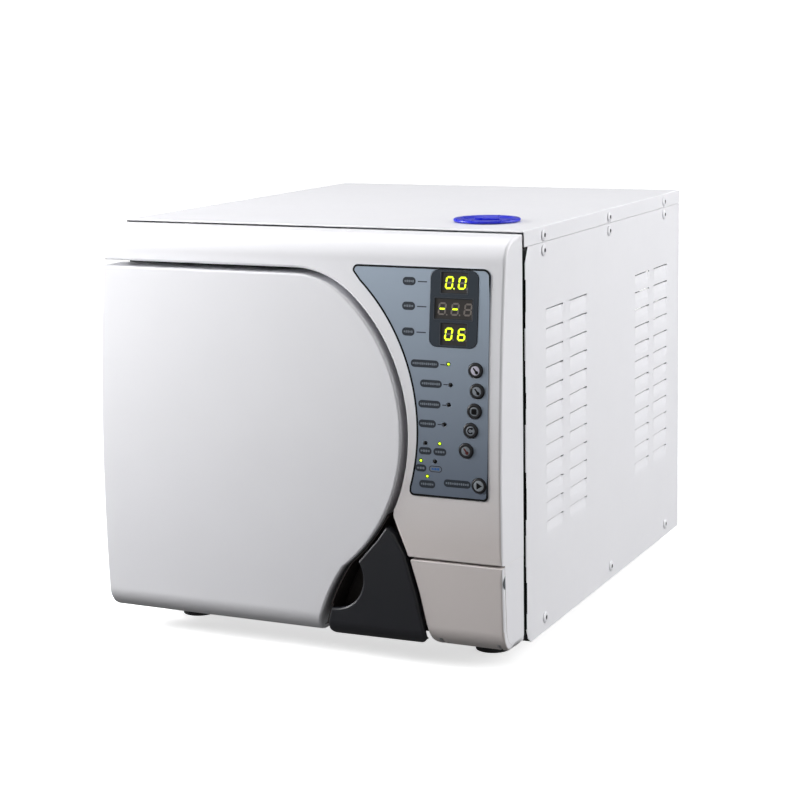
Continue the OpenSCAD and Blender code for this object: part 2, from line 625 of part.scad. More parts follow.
module safety_valve() cab() color("goldenrod") {
    rod_y(valve_c[0], valve_c[1], 488, 518.3, 10);
    rod_y(valve_c[0], valve_c[1], 518.3, 527, 8);
    rod_y(valve_c[0], valve_c[1], 527, 532, 10);
}

module main_board() cab() color("darkgreen") {
    difference() {
        union() {
            box([200, 508, 230], [320, 509.6, 330]);
            for (x = [205, 315], z = [236, 324]) rod_y(x, z, 509.6, cab_d - 1.5, 3.5);
        }
        for (x = [205, 315], z = [236, 324]) rod_y(x, z, 507, cab_d, 1.6);
    }
    box([210, 480, 240], [245, 508, 275]);
    box([252, 492, 240], [270, 508, 300]);
    for (i = [0:3]) box([278 + i * 10, 494, 242], [285 + i * 10, 508, 262]);
    rod_y(295, 300, 486, 508, 10);
}

module mains_inlet() cab() color([0.12, 0.12, 0.12]) difference() {
    union() {
        box([286, 498, 41], [314, 520, 88]);
        box([283, 520, 36], [317, 523, 93]);
    }
    box([289, 502, 62], [311, 524, 84]);
    for (x = [293, 307]) rod_y(x, 50, 512, 524, 4);
}

// ---------- service bay behind the flap ----------

module service_recess() cab() color("lightgray") difference() {
    union() {
        box([370, -9, 15], [438, 45, 87]);
        for (x = EAR_X) {
            box([x[0], flap_axis[0], 15], [x[1], -9, 22]);
            box([x[0], flap_axis[0], flap_axis[1] - 4], [x[1], -20, 20]);
            bar(x[0], x[1]) translate(flap_axis) circle(r = 4);
        }
    }
    box([372, -10, 17], [436, 43, 85]);
    bar(360, 440) translate(flap_axis) circle(r = 2.06);
    box([408.8, 40, 57.8], [425.2, 47, 80.2]);
    for (x = [388, 419]) rod_y(x, 36, 40, 47, 6.3);
}

module power_switch_body() cab() color([0.1, 0.1, 0.1]) difference() {
    union() {
        box([409, 43, 58], [425, 62, 80]);
        box([407, 40.5, 56], [427, 43, 82]);
    }
    box([411.5, 40, 60], [422.5, 52, 78]);
    bar(409.5, 424.5) translate([48, 69]) circle(r = 1.56);
}

module power_rocker() cab() color("green") {
    bar(412, 422) polygon([[38.5, 75.5], [42, 69], [40.5, 62.5], [46, 62.5], [49, 66], [49, 72], [46, 75.5]]);
    bar(410, 424) translate([48, 69]) circle(r = 1.5);
}

module drain_valves() cab() color("goldenrod") for (x = [388, 419]) difference() {
    union() {
        rod_y(x, 36, 25, 60, 6);
        rod_y(x, 36, 14, 25, 3);
        rod_y(x, 24, 30, 38, 4.5);
        rod_z(x, 34, 24, 34, 3);
    }
    rod_y(x, 24, 29, 37, 2.8);
}

// A wing knob on a drain valve's spindle
module drain_knob(x) difference() {
    union() {
        rod_y(x, 36, 4, 13.8, 7.5);
        box([x - 12, 5, 34], [x + 12, 10, 38]);
    }
    rod_y(x, 36, 10, 15, 3.06);
}

module drain_knob_clean() cab() color("royalblue") drain_knob(388);
module drain_knob_waste() cab() color("dimgray") drain_knob(419);

flap_back = -30;
flap_x1 = cab_w - wall - 0.9;   // right end of the flap's body, beside the fascia's side wall
EAR_X = [[371.5, 374.5], [433.5, 436.5]];

module service_flap() cab() color("whitesmoke") {
    difference() {
        union() {
            difference() {
                bulged_shell(front_profile(fascia_reach, door_z0, 95, 24, flap_back, 0),
                    flap_outline(0, flap_x1), flap_back);
                intersection() {
                    bar(340, cab_w + 1) polygon(front_profile(fascia_reach, door_z0, 95, 24, -10, 2.5));
                    slab(-70, -20) polygon(flap_outline(2.5, flap_x1));
                }
            }
            // strip that wraps the front right corner
            intersection() {
                difference() {
                    bar(430, cab_w - 0.3) polygon(front_profile(fascia_reach, door_z0, 95, 24, flap_back, 0));
                    bar(420, cab_w + 1) polygon(front_profile(fascia_reach, door_z0, 96, 24, -10, 2.5));
                }
                slab(-70, -49) polygon([[430, 16], [cab_w, 16], [cab_w, flap_z1], [430, flap_z1]]);
            }
        }
        for (x = EAR_X) box([x[0] - 0.4, -46.4, -1], [x[1] + 0.4, -20, 24]);
        box([cab_w - 2, -56, 68], [cab_w + 1, -50.5, 84]);
    }
    for (x = [375, 429]) difference() {
        bar(x, x + 4) translate(flap_axis) circle(r = 6.2);
        bar(370, 440) polygon([[-60, 0], [-46.5, 0], [-46.5, 30], [-60, 30]]);
    }
    for (x = [371.3, 432.8]) bar(x, x + 3.9) translate(flap_axis) circle(r = 2);
}

base_pan();
front_frame();
rear_panel();
side_panel_left();
side_panel_right();
top_cover();
cover_screws();
feet();
fascia();
control_overlay();
display_window();
display_board();
key_switches();
indicator_lamps();
button_display();
button_program_up();
button_program_down();
button_dry();
button_temperature();
start_button();
hinge_brackets();
hinge_pins();
latch_keeper();
door_cover();
door_plate();
pressure_disc();
door_seal();
door_liner();
handle_recess();
door_handle();
handle_pivot_pin();
latch_bolt();
chamber_vessel();
chamber_flange();
insulation();
band_heater();
tray_rack();
tray_lower();
tray_middle();
tray_upper();
steam_generator();
vacuum_pump();
condenser();
fan_frame();
fan_rotor();
fan_guard();
water_tank();
tank_cap();
steam_pipe();
safety_valve();
main_board();
mains_inlet();
service_recess();
power_switch_body();
power_rocker();
drain_valves();
drain_knob_clean();
drain_knob_waste();
service_flap();
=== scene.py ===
"""Benchtop steam autoclave: the visible surfaces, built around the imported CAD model.

Shapes are drawn in cabinet millimetres, as in part.scad: x from the left side, y from the cabinet's
front plane towards the back, z from its underside. build() turns them into frame metres.
"""

import json
import math

import bpy
import numpy as np
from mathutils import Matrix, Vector, geometry


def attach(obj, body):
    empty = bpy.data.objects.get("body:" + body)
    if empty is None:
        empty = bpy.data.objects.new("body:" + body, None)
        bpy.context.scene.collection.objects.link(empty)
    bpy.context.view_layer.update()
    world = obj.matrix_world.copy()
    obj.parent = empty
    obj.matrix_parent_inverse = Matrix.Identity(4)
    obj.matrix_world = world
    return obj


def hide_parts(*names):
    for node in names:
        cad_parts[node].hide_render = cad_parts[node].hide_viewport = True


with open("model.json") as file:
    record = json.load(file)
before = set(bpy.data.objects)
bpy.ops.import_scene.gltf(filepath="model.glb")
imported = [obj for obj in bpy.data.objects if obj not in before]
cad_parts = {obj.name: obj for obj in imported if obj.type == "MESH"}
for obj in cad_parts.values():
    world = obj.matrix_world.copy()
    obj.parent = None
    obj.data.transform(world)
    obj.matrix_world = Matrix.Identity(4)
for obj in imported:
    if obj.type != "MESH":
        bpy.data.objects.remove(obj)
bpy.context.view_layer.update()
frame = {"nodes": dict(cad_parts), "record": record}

# ---------- dimensions, in cabinet millimetres ----------

MM = 0.001
ORIGIN = np.array([-222.5, -237.0, 20.0])
CAB_W, CAB_D, CAB_H = 445.0, 520.0, 410.0
DOOR_REACH, FASCIA_REACH = 58.0, 55.0
BULGE_Z, BULGE_R = 165.0, 1850.0
DOOR_R, OPEN_R = 173.5, 178.8
DOOR_FILLET, OPEN_FILLET = 84.0, 98.0
AXIS = np.array([165.5, 212.0])
HEEL, HEEL_R = np.array([434.75, -38.0]), 197.5
LEFT_X = -2.0
DOOR_Z0, DOOR_Z1 = 3.5, 366.0
BAR_Z = 371.6
FASCIA_BACK, DOOR_BACK = -4.6, -8.5
SLOT_Z, FLAP_Z1 = 93.3, 91.1
WINDOW = (366.8, 301.5, 416.5, 375.2)
KEYS = [(415.4, 281.1), (417.3, 261.4), (414.7, 242.1), (411.0, 223.3), (406.3, 203.5), (419.4, 170.7)]
LAMPS = [(387.3, 285.6), (389.8, 265.8), (388.2, 246.6), (383.6, 227.3), (363.9, 208.0),
         (378.8, 208.5), (359.0, 190.6), (374.0, 190.6), (365.6, 175.7)]
LIT_LAMPS = (0, 5, 6, 8)
SIDE_SCREWS = [(53, 386), (256, 386), (457, 386), (54, 14.5), (262, 14.5), (465, 14.5)]
COVER_SCREWS = [(53, 401), (256, 401), (457, 401)]
CAP = (375.0, 80.0)
HINGE_Z = np.array([95.0, 329.0])
EAR_X = (373.0, 435.0)
X, Y, Z = np.eye(3)


# ---------- 2-D outlines ----------

def arc(centre, r, a0, a1, n):
    t = np.radians(np.linspace(a0, a1, n + 1))
    return np.column_stack([centre[0] + r * np.cos(t), centre[1] + r * np.sin(t)])


def path(*parts):
    """One outline from points and arrays of points."""
    return np.vstack([np.atleast_2d(np.array(p, float)) for p in parts])


def round_rect(x0, z0, x1, z1, r, n=6):
    return path(arc((x1 - r, z1 - r), r, 0, 90, n), arc((x0 + r, z1 - r), r, 90, 180, n),
                arc((x0 + r, z0 + r), r, 180, 270, n), arc((x1 - r, z0 + r), r, 270, 360, n))


def grow(box, by):
    return box[0] - by, box[1] - by, box[2] + by, box[3] + by


def circle(c, r, n=40):
    return arc(c, r, 0, 360 - 360 / n, n - 1)


def area(p):
    q = np.roll(p, -1, axis=0)
    return 0.5 * np.sum(p[:, 0] * q[:, 1] - q[:, 0] * p[:, 1])


def tidy_loop(p, step):
    """Splits long sides to at most step and drops repeated points."""
    out = []
    for a, b in zip(p, np.roll(p, -1, axis=0)):
        d = np.linalg.norm(b - a)
        if d < 0.02:
            continue
        n = max(1, int(math.ceil(d / step)))
        out.extend(a + (b - a) * i / n for i in range(n))
    return np.array(out)


def inside(points, loops):
    """Even-odd test of points against closed loops."""
    hit = np.zeros(len(points), bool)
    for loop in loops:
        a, b = loop, np.roll(loop, -1, axis=0)
        for (x0, y0), (x1, y1) in zip(a, b):
            if y0 == y1:
                continue
            cross = (points[:, 1] > min(y0, y1)) & (points[:, 1] <= max(y0, y1))
            hit ^= cross & (points[:, 0] < x0 + (points[:, 1] - y0) * (x1 - x0) / (y1 - y0))
    return hit


def distance(points, loops):
    """Distance from each point to the nearest loop side."""
    best = np.full(len(points), 1e9)
    for loop in loops:
        for a, b in zip(loop, np.roll(loop, -1, axis=0)):
            d = b - a
            t = np.clip((points - a) @ d / max(d @ d, 1e-9), 0, 1)
            best = np.minimum(best, np.linalg.norm(points - a - t[:, None] * d, axis=1))
    return best


def crossing(a, ra, b, rb, side):
    d = np.linalg.norm(b - a)
    u = (b - a) / d
    m = (ra * ra - rb * rb + d * d) / (2 * d)
    h = math.sqrt(ra * ra - m * m)
    return a + m * u + side * h * np.array([-u[1], u[0]])


def angle_of(v):
    return math.degrees(math.atan2(v[1], v[0]))


def fillet(p0, corner, p1, r, n=10):
    """Points of an arc of radius r between the lines p0-corner and corner-p1."""
    a = (p0 - corner) / np.linalg.norm(p0 - corner)
    b = (p1 - corner) / np.linalg.norm(p1 - corner)
    half = math.acos(np.clip(a @ b, -1, 1)) / 2
    cut = r / math.tan(half)
    mid = (a + b) / np.linalg.norm(a + b)
    centre = corner + mid * r / math.sin(half)
    t0, t1 = corner + a * cut - centre, corner + b * cut - centre
    a0, a1 = angle_of(t0), angle_of(t1)
    turn = (a1 - a0 + 180) % 360 - 180
    return arc(centre, r, a0, a0 + turn, n)


# ---------- side profiles of the front mouldings ----------

def front_y(z, reach):
    return -reach + (z - BULGE_Z) ** 2 / (2 * BULGE_R)


class Profile:
    """A line of (y, z) points met by its length s, which is 0 where the foot's arc starts."""

    def __init__(self, points, zero):
        p = np.array(points, float)
        step = np.linalg.norm(np.diff(p, axis=0), axis=1)
        s = np.concatenate([[0], np.cumsum(step)])
        self.s = s - s[zero]
        self.p = p
        d = np.gradient(p, self.s, axis=0)
        self.t = d / np.linalg.norm(d, axis=1)[:, None]
        self.zero = zero

    def at(self, s):
        y, z = np.interp(s, self.s, self.p[:, 0]), np.interp(s, self.s, self.p[:, 1])
        t = np.column_stack([np.interp(s, self.s, self.t[:, 0]), np.interp(s, self.s, self.t[:, 1])])
        t /= np.linalg.norm(t, axis=1)[:, None]
        return y, z, t

    def s_of(self, z):
        return np.interp(z, self.p[self.zero:, 1], self.s[self.zero:])

    def s_back(self, y):
        """The s on the underside where it reaches back to y."""
        return -(y - self.p[self.zero, 0])


def moulding_profile(reach, z0, z1, foot, back):
    yc, zc = front_y(z0 + foot, reach) + foot, z0 + foot
    z = np.linspace(zc, z1, 60)[1:]
    under = np.linspace(max(back, yc) + 8, yc, 12)[:-1]
    pts = path(np.column_stack([under, np.full(len(under), z0)]), arc((yc, zc), foot, 270, 180, 24),
               np.column_stack([front_y(z, reach), z]))
    return Profile(pts, len(under))


def fascia_line():
    yc, zc = front_y(DOOR_Z0 + 24, FASCIA_REACH) + 24, DOOR_Z0 + 24
    z = np.linspace(zc, 377, 60)[1:]
    under = np.linspace(0, yc, 12)[:-1]
    top_c = (front_y(382, FASCIA_REACH) + 24, 382)
    pts = path(np.column_stack([under, np.full(len(under), DOOR_Z0)]), arc((yc, zc), 24, 270, 180, 24),
               np.column_stack([front_y(z, FASCIA_REACH), z]), arc(top_c, 24, 180, 88, 24),
               (FASCIA_BACK, CAB_H - 2.4), (FASCIA_BACK + 6, CAB_H - 2.2))
    return Profile(pts, len(under))


def on_profile(profile, lift=0.0):
    """The surface over (x, s) of a moulding, raised by lift along its normal."""
    def surface(uv):
        y, z, t = profile.at(uv[:, 1])
        n = np.column_stack([np.zeros(len(uv)), -t[:, 1], t[:, 0]])
        p = np.column_stack([uv[:, 0], y, z]) + n * lift
        v = np.column_stack([np.zeros(len(uv)), t])
        return p, n, np.tile(X, (len(uv), 1)), v
    return surface


def flat(origin, u, v):
    """A plane through origin with unit directions u and v."""
    o, u, v = np.array(origin, float), np.array(u, float), np.array(v, float)
    n = np.cross(u, v)

    def surface(uv):
        k = len(uv)
        return (o + uv[:, :1] * u + uv[:, 1:] * v, np.tile(n, (k, 1)), np.tile(u, (k, 1)),
                np.tile(v, (k, 1)))
    return surface


def to_s(profile, loop, z_min, s_end):
    """Turns an (x, z) outline into (x, s). Points under z_min go to s_end, on the underside."""
    s = np.where(loop[:, 1] <= z_min + 1e-6, s_end, profile.s_of(loop[:, 1]))
    return np.column_stack([loop[:, 0], s])


# ---------- mesh making ----------

class Geo:
    """Points, faces and the normal at each face corner."""

    def __init__(self):
        self.p, self.f, self.n = [], [], []

    def points(self, p):
        first = len(self.p)
        self.p.extend(np.asarray(p, float))
        return np.arange(first, len(self.p))

    def face(self, idx, normals):
        self.f.append([int(i) for i in idx])
        self.n.append([tuple(v) for v in normals])

    def strip(self, a, b, na, nb):
        """Faces from closed ring a to ring b; na and nb hold (before, after) corner normals."""
        k = len(a)
        for i in range(k):
            j = (i + 1) % k
            self.face([a[j], a[i], b[i], b[j]], [na[0][j], na[1][i], nb[1][i], nb[0][j]])


def triangulate(loops, grid_points):
    pts = np.vstack([*loops, grid_points]) if len(grid_points) else np.vstack(loops)
    edges, base = [], 0
    for loop in loops:
        k = len(loop)
        edges += [(base + i, base + (i + 1) % k) for i in range(k)]
        base += k
    made = geometry.delaunay_2d_cdt([Vector(p) for p in pts], edges, [], 0, 1e-5, True)
    verts = np.array([list(v) for v in made[0]])
    where = {}
    for new, olds in enumerate(made[3]):
        for old in olds:
            where[old] = new
    tris = np.array([f for f in made[2] if len(f) == 3])
    keep = inside(verts[tris].mean(axis=1), loops)
    return verts, tris[keep], [where[i] for i in range(len(pts))]


def grid_in(loops, us, vs, clear):
    gu, gv = np.meshgrid(us, vs)
    g = np.column_stack([gu.ravel(), gv.ravel()])
    g = g[inside(g, loops)]
    return g[distance(g, loops) > clear] if len(g) else g


def levels(a, b, step):
    n = max(2, int(round((b - a) / step)))
    return np.linspace(a, b, n + 1)[1:-1]


def shell(outer, surface, holes=(), radius=1.0, hole_radius=0.4, depth=2.5, wall=None, grid=10.0,
          rings=4, vs=None, lift=None):
    """A moulded sheet over (u, v): front, rounded edges, then walls back to a plane or to its thickness.

    radius is a number or a function of the outline's points. wall is None for a plain sheet, or
    (axis, value): the walls then run to that coordinate, value being a number or a function of position.
    """
    outer = np.array(outer, float)
    loops = [outer if area(outer) > 0 else outer[::-1]]
    loops += [h if area(h) < 0 else h[::-1] for h in (np.array(h, float) for h in holes)]
    rims, inner = [], []
    for k, p in enumerate(loops):
        d = np.roll(p, -1, axis=0) - p
        n = np.column_stack([d[:, 1], -d[:, 0]]) / np.linalg.norm(d, axis=1)[:, None]
        before = np.roll(n, 1, axis=0)
        dot = np.sum(n * before, axis=1)
        mitre = (n + before) / (1 + np.maximum(dot, -0.5))[:, None]
        soft = (dot > math.cos(math.radians(32)))[:, None]
        mean = (n + before) / np.linalg.norm(n + before, axis=1)[:, None]
        if k == 0:
            r = radius(p) if callable(radius) else np.full(len(p), float(radius))
        else:
            r = np.full(len(p), float(hole_radius))
        rims.append((p, mitre, r, np.where(soft, mean, before), np.where(soft, mean, n)))
        inner.append(p - mitre * r[:, None])
    lo, hi = inner[0].min(axis=0), inner[0].max(axis=0)
    us = levels(lo[0], hi[0], grid)
    vs = levels(lo[1], hi[1], grid) if vs is None else np.array([v for v in vs if lo[1] < v < hi[1]])
    free = grid_in(inner, us, vs, 0.3 * grid) if grid < 1e3 else np.zeros((0, 2))
    verts, tris, where = triangulate(inner, free)
    g = Geo()
    p, n, _, _ = surface(verts)
    front = g.points(p)
    back = g.points(p - n * depth)
    for t in tris:
        g.face(front[t], n[t])
        g.face(back[t[::-1]], -n[t[::-1]])
    base = 0
    for k, (q, mitre, r, n0, n1) in enumerate(rims):
        ids = np.array([where[base + i] for i in range(len(q))])
        base += len(q)
        ring = front[ids]
        nn = surface(inner[k])[1]
        last = (nn, nn)
        for i in range(1, rings + 1):
            a = math.pi / 2 * i / rings
            at = inner[k] + mitre * (r * math.sin(a))[:, None]
            pos, nn, u, v = surface(at)
            pos = pos - nn * (r * (1 - math.cos(a)))[:, None]
            out = [u * m[:, :1] + v * m[:, 1:] for m in (n0, n1)]
            now = tuple(nn * math.cos(a) + o * math.sin(a) for o in out)
            new = g.points(pos)
            g.strip(ring, new, last, now)
            ring, last = new, now
        side = last
        pos, nn, _, _ = surface(q)
        if wall is None or k > 0:
            new = g.points(pos - nn * depth)
            g.strip(ring, new, side, side)
            g.strip(new, back[ids], (-nn, -nn), (-nn, -nn))
            continue
        axis, value = wall
        ends = np.array([g.p[i] for i in ring])
        cores = np.array([g.p[i] for i in back[ids]])
        level = value(ends) if callable(value) else np.full(len(ends), float(value))
        ends[:, axis] = level
        cores[:, axis] = level
        if lift is not None:
            ends[:, 2] += lift(q[:, 1])
            cores[:, 2] += lift(q[:, 1])
        near = np.mean([g.p[i][axis] for i in ring])
        to = np.sign(level.mean() - near) * np.eye(3)[axis]
        to = np.tile(to, (len(ends), 1))
        end, core = g.points(ends), g.points(cores)
        g.strip(ring, end, side, side)
        g.strip(end, core, (to, to), (to, to))
        minus = tuple(-m for m in side)
        g.strip(core, back[ids], minus, minus)
    return g


def lathe(profile, origin, axis, seg=64):
    """A body of revolution from (radius, height) points, listed upwards on the outside."""
    a = np.array(axis, float) / np.linalg.norm(axis)
    e1 = np.cross(a, X if abs(a[0]) < 0.9 else Y)
    e1 /= np.linalg.norm(e1)
    e2 = np.cross(a, e1)
    p = np.array(profile, float)
    d = np.diff(p, axis=0)
    n = np.column_stack([d[:, 1], -d[:, 0]]) / np.maximum(np.linalg.norm(d, axis=1), 1e-9)[:, None]
    start, end = n.copy(), n.copy()
    for i in range(1, len(n)):
        if n[i] @ n[i - 1] > math.cos(math.radians(35)):
            m = n[i] + n[i - 1]
            m /= np.linalg.norm(m)
            start[i], end[i - 1] = m, m
    t = np.radians(np.arange(seg) * 360 / seg)
    dirs = np.cos(t)[:, None] * e1 + np.sin(t)[:, None] * e2
    g, rows = Geo(), []
    for r, h in p:
        centre = np.array(origin, float) + a * h
        rows.append(g.points(centre + dirs * r) if r > 1e-6 else g.points([centre]))
    for i in range(len(n)):
        for j in range(seg):
            k = (j + 1) % seg
            c = [start[i][0] * dirs[j] + start[i][1] * a, start[i][0] * dirs[k] + start[i][1] * a,
                 end[i][0] * dirs[k] + end[i][1] * a, end[i][0] * dirs[j] + end[i][1] * a]
            low, up = rows[i], rows[i + 1]
            if len(low) == 1:
                g.face([low[0], up[k], up[j]], [c[0], c[2], c[3]])
            elif len(up) == 1:
                g.face([low[j], low[k], up[0]], [c[0], c[1], c[2]])
            else:
                g.face([low[j], low[k], up[k], up[j]], c)
    return g


def in_frame(points):
    """Frame metres from cabinet millimetres."""
    return [tuple((np.array(p) + ORIGIN) * MM) for p in points]


def new_object(name, points, faces, looks):
    mesh = bpy.data.meshes.new(name)
    mesh.from_pydata(points, [], faces)
    mesh.polygons.foreach_set("use_smooth", [True] * len(faces))
    for look in looks:
        mesh.materials.append(look)
    obj = bpy.data.objects.new(name, mesh)
    bpy.context.scene.collection.objects.link(obj)
    return obj


def mount(obj, body, replaces):
    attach(obj, body)
    if replaces:
        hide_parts(*replaces)


def build(name, parts, body, looks, replaces=()):
    """One object from Geo parts; a part may be (Geo, material index). It rides on its body."""
    pts, faces, normals, index = [], [], [], []
    for part in parts:
        g, m = part if isinstance(part, tuple) else (part, 0)
        base = len(pts)
        pts.extend(g.p)
        faces.extend([i + base for i in f] for f in g.f)
        for n in g.n:
            normals.extend(n)
        index.extend([m] * len(g.f))
    obj = new_object(name, in_frame(pts), faces, looks)
    obj.data.polygons.foreach_set("material_index", index)
    obj.data.normals_split_custom_set([tuple(float(c) for c in n) for n in normals])
    obj.data.update()
    mount(obj, body, replaces)
    return obj


# ---------- materials ----------

def srgb(r, g, b):
    """Linear colour from 0-255 screen values."""
    out = []
    for c in (r, g, b):
        c /= 255
        out.append(c / 12.92 if c <= 0.04045 else ((c + 0.055) / 1.055) ** 2.4)
    return out


def spread(tree, source, x0, x1, y0, y1):
    """Carries a value from the span x0..x1 to y0..y1."""
    node = tree.nodes.new("ShaderNodeMapRange")
    for socket, value in zip(("From Min", "From Max", "To Min", "To Max"), (x0, x1, y0, y1)):
        node.inputs[socket].default_value = value
    tree.links.new(source, node.inputs["Value"])
    return node.outputs["Result"]


def colour_mix(tree, a, b, blend="MIX"):
    node = tree.nodes.new("ShaderNodeMix")
    node.data_type = "RGBA"
    node.blend_type = blend
    node.inputs["A"].default_value = [*a, 1]
    node.inputs["B"].default_value = [*b, 1]
    return node


ROUGH_SPAN = 0.06


def material(name, colour, rough=0.4, metal=0.0, grain=900.0, bump=0.08, depth=0.0002, mottle=0.02,
             mottle_scale=14.0, stretch=(1, 1, 1), glow=0.0, specular=0.5):
    """A procedural finish: mottled colour, uneven roughness and a fine grain in the normal."""
    m = bpy.data.materials.new(name)
    m.use_nodes = True
    nodes, links = m.node_tree.nodes, m.node_tree.links
    shader = nodes["Principled BSDF"]
    coords = nodes.new("ShaderNodeTexCoord")
    mapping = nodes.new("ShaderNodeMapping")
    mapping.inputs["Scale"].default_value = stretch
    links.new(coords.outputs["Object"], mapping.inputs["Vector"])

    def noise(scale, detail):
        node = nodes.new("ShaderNodeTexNoise")
        node.inputs["Scale"].default_value = scale
        node.inputs["Detail"].default_value = detail
        links.new(mapping.outputs["Vector"], node.inputs["Vector"])
        return node

    broad, mid, fine = noise(mottle_scale, 4), noise(mottle_scale * 9, 5), noise(grain, 3)
    mix = colour_mix(m.node_tree, [c * (1 - mottle) for c in colour],
                     [min(c * (1 + mottle), 1) for c in colour])
    links.new(broad.outputs["Fac"], mix.inputs["Factor"])
    links.new(mix.outputs["Result"], shader.inputs["Base Color"])
    uneven = spread(m.node_tree, mid.outputs["Fac"], 0.25, 0.75, max(rough - ROUGH_SPAN, 0.02),
                    min(rough + ROUGH_SPAN, 1))
    links.new(uneven, shader.inputs["Roughness"])
    relief = nodes.new("ShaderNodeBump")
    relief.inputs["Strength"].default_value = bump
    relief.inputs["Distance"].default_value = depth
    links.new(fine.outputs["Fac"], relief.inputs["Height"])
    links.new(relief.outputs["Normal"], shader.inputs["Normal"])
    shader.inputs["Metallic"].default_value = metal
    shader.inputs["Specular IOR Level"].default_value = specular
    if glow:
        shader.inputs["Emission Color"].default_value = [*colour, 1]
        shader.inputs["Emission Strength"].default_value = glow
    return m


def fade(m, low, high, z0, z1):
    """Makes a material's colour run from low at height z0 to high at z1, in metres, under its mottle."""
    nodes, links = m.node_tree.nodes, m.node_tree.links
    split = nodes.new("ShaderNodeSeparateXYZ")
    coords = next(n for n in nodes if n.type == "TEX_COORD")
    links.new(coords.outputs["Object"], split.inputs["Vector"])
    run = colour_mix(m.node_tree, low, high)
    links.new(spread(m.node_tree, split.outputs["Z"], z0, z1, 0, 1), run.inputs["Factor"])
    tint = colour_mix(m.node_tree, (1, 1, 1), (1, 1, 1), "MULTIPLY")
    tint.inputs["Factor"].default_value = 1.0
    mottle = next(n for n in nodes if n.type == "MIX" and n not in (run, tint))
    mottle.inputs["A"].default_value = [0.96, 0.96, 0.96, 1]
    mottle.inputs["B"].default_value = [1.0, 1.0, 1.0, 1]
    links.new(run.outputs["Result"], tint.inputs["A"])
    links.new(mottle.outputs["Result"], tint.inputs["B"])
    shader = nodes["Principled BSDF"]
    links.new(tint.outputs["Result"], shader.inputs["Base Color"])


WHITE = srgb(232, 232, 236)
SLOT_LOOKS = {
    "cabinet_paint": dict(colour=srgb(230, 230, 234), rough=0.42, grain=420, bump=0.12, depth=0.0003),
    # painted shade: the front frame is made black, so the gaps round the door and fascia read dark
    "frame_black": dict(colour=srgb(9, 8, 8), rough=0.6, grain=600, bump=0.25, mottle=0.06, specular=0.2),
    "screw_white": dict(colour=srgb(226, 226, 230), rough=0.32, grain=700, bump=0.08),
    "black_rubber": dict(colour=srgb(22, 22, 23), rough=0.72, grain=1300, bump=0.35),
    "white_moulding": dict(colour=WHITE, rough=0.34, grain=1500, bump=0.05),
    "overlay_film": dict(colour=srgb(125, 140, 158), rough=0.36, grain=2600, bump=0.12, mottle=0.05,
                         mottle_scale=60),
    "display_lens": dict(colour=srgb(35, 46, 57), rough=0.2, grain=1800, bump=0.04),
    "circuit_board": dict(colour=srgb(22, 84, 48), rough=0.38, grain=600, bump=0.3, mottle=0.2,
                          mottle_scale=160),
    "black_plastic": dict(colour=srgb(26, 25, 24), rough=0.5, grain=1100, bump=0.22),
    "lamp_lens": dict(colour=srgb(190, 240, 40), rough=0.2, grain=500, bump=0.03),
    "key_cap": dict(colour=srgb(24, 25, 28), rough=0.38, grain=1500, bump=0.12),
    "steel": dict(colour=srgb(165, 167, 170), rough=0.3, metal=1.0, grain=260, bump=0.12,
                  stretch=(1, 1, 7), mottle=0.06),
    "stainless": dict(colour=srgb(196, 196, 198), rough=0.24, metal=1.0, grain=500, bump=0.1,
                      stretch=(1, 0.06, 1), mottle=0.05),
    "silicone": dict(colour=srgb(196, 92, 62), rough=0.55, grain=900, bump=0.12),
    "grey_plastic": dict(colour=srgb(168, 170, 172), rough=0.46, grain=1200, bump=0.16),
    "charcoal_plastic": dict(colour=srgb(35, 36, 41), rough=0.42, grain=1500, bump=0.16, mottle=0.06),
    "insulation_wool": dict(colour=srgb(206, 196, 150), rough=0.95, grain=240, bump=0.9, depth=0.002,
                            mottle=0.15, mottle_scale=70),
    "heater_band": dict(colour=srgb(120, 118, 116), rough=0.36, metal=0.9, grain=300, bump=0.15),
    "pump_casting": dict(colour=srgb(82, 86, 92), rough=0.55, grain=380, bump=0.5, depth=0.0006),
    "fin_aluminium": dict(colour=srgb(190, 192, 194), rough=0.34, metal=1.0, grain=420, bump=0.1),
    "chrome_wire": dict(colour=srgb(205, 206, 208), rough=0.16, metal=1.0, grain=300, bump=0.03),
    "tank_plastic": dict(colour=srgb(214, 220, 224), rough=0.4, grain=800, bump=0.08),
    "blue_plastic": dict(colour=srgb(22, 32, 190), rough=0.3, grain=1500, bump=0.08, mottle=0.05),
    "copper_pipe": dict(colour=srgb(190, 110, 78), rough=0.3, metal=1.0, grain=240, bump=0.08,
                        mottle=0.12, mottle_scale=40),
    "brass_fitting": dict(colour=srgb(196, 160, 84), rough=0.3, metal=1.0, grain=260, bump=0.1),
    "rocker_green": dict(colour=srgb(30, 140, 64), rough=0.28, grain=900, bump=0.06, glow=0.15),
}
LOOK = {slot: material("finish_" + slot, **facts) for slot, facts in SLOT_LOOKS.items()}
PRINT_BLACK = material("print_black", srgb(3, 3, 4), rough=0.6, grain=2600, bump=0.1, specular=0.15)
PRINT_SLATE, PRINT_LINE, PRINT_PALE, PRINT_BLUE, PRINT_RED = (
    material("print_" + name, srgb(*colour), rough=0.4, grain=2600, bump=0.1) for name, colour in (
        ("slate", (34, 42, 52)), ("line", (45, 50, 58)), ("pale", (120, 128, 138)),
        ("blue", (40, 96, 170)), ("red", (92, 22, 20))))
SEGMENT_LIT = material("segment_lit", srgb(226, 255, 40), rough=0.3, grain=900, bump=0.02, glow=1.1)
SEGMENT_DARK = material("segment_dark", srgb(118, 110, 105), rough=0.4, grain=900, bump=0.05)
MODULE_FACE = material("module_face", srgb(38, 33, 31), rough=0.45, grain=1500, bump=0.1)
LAMP_DARK = material("lamp_dark", srgb(7, 8, 8), rough=0.55, grain=700, bump=0.06, specular=0.2)
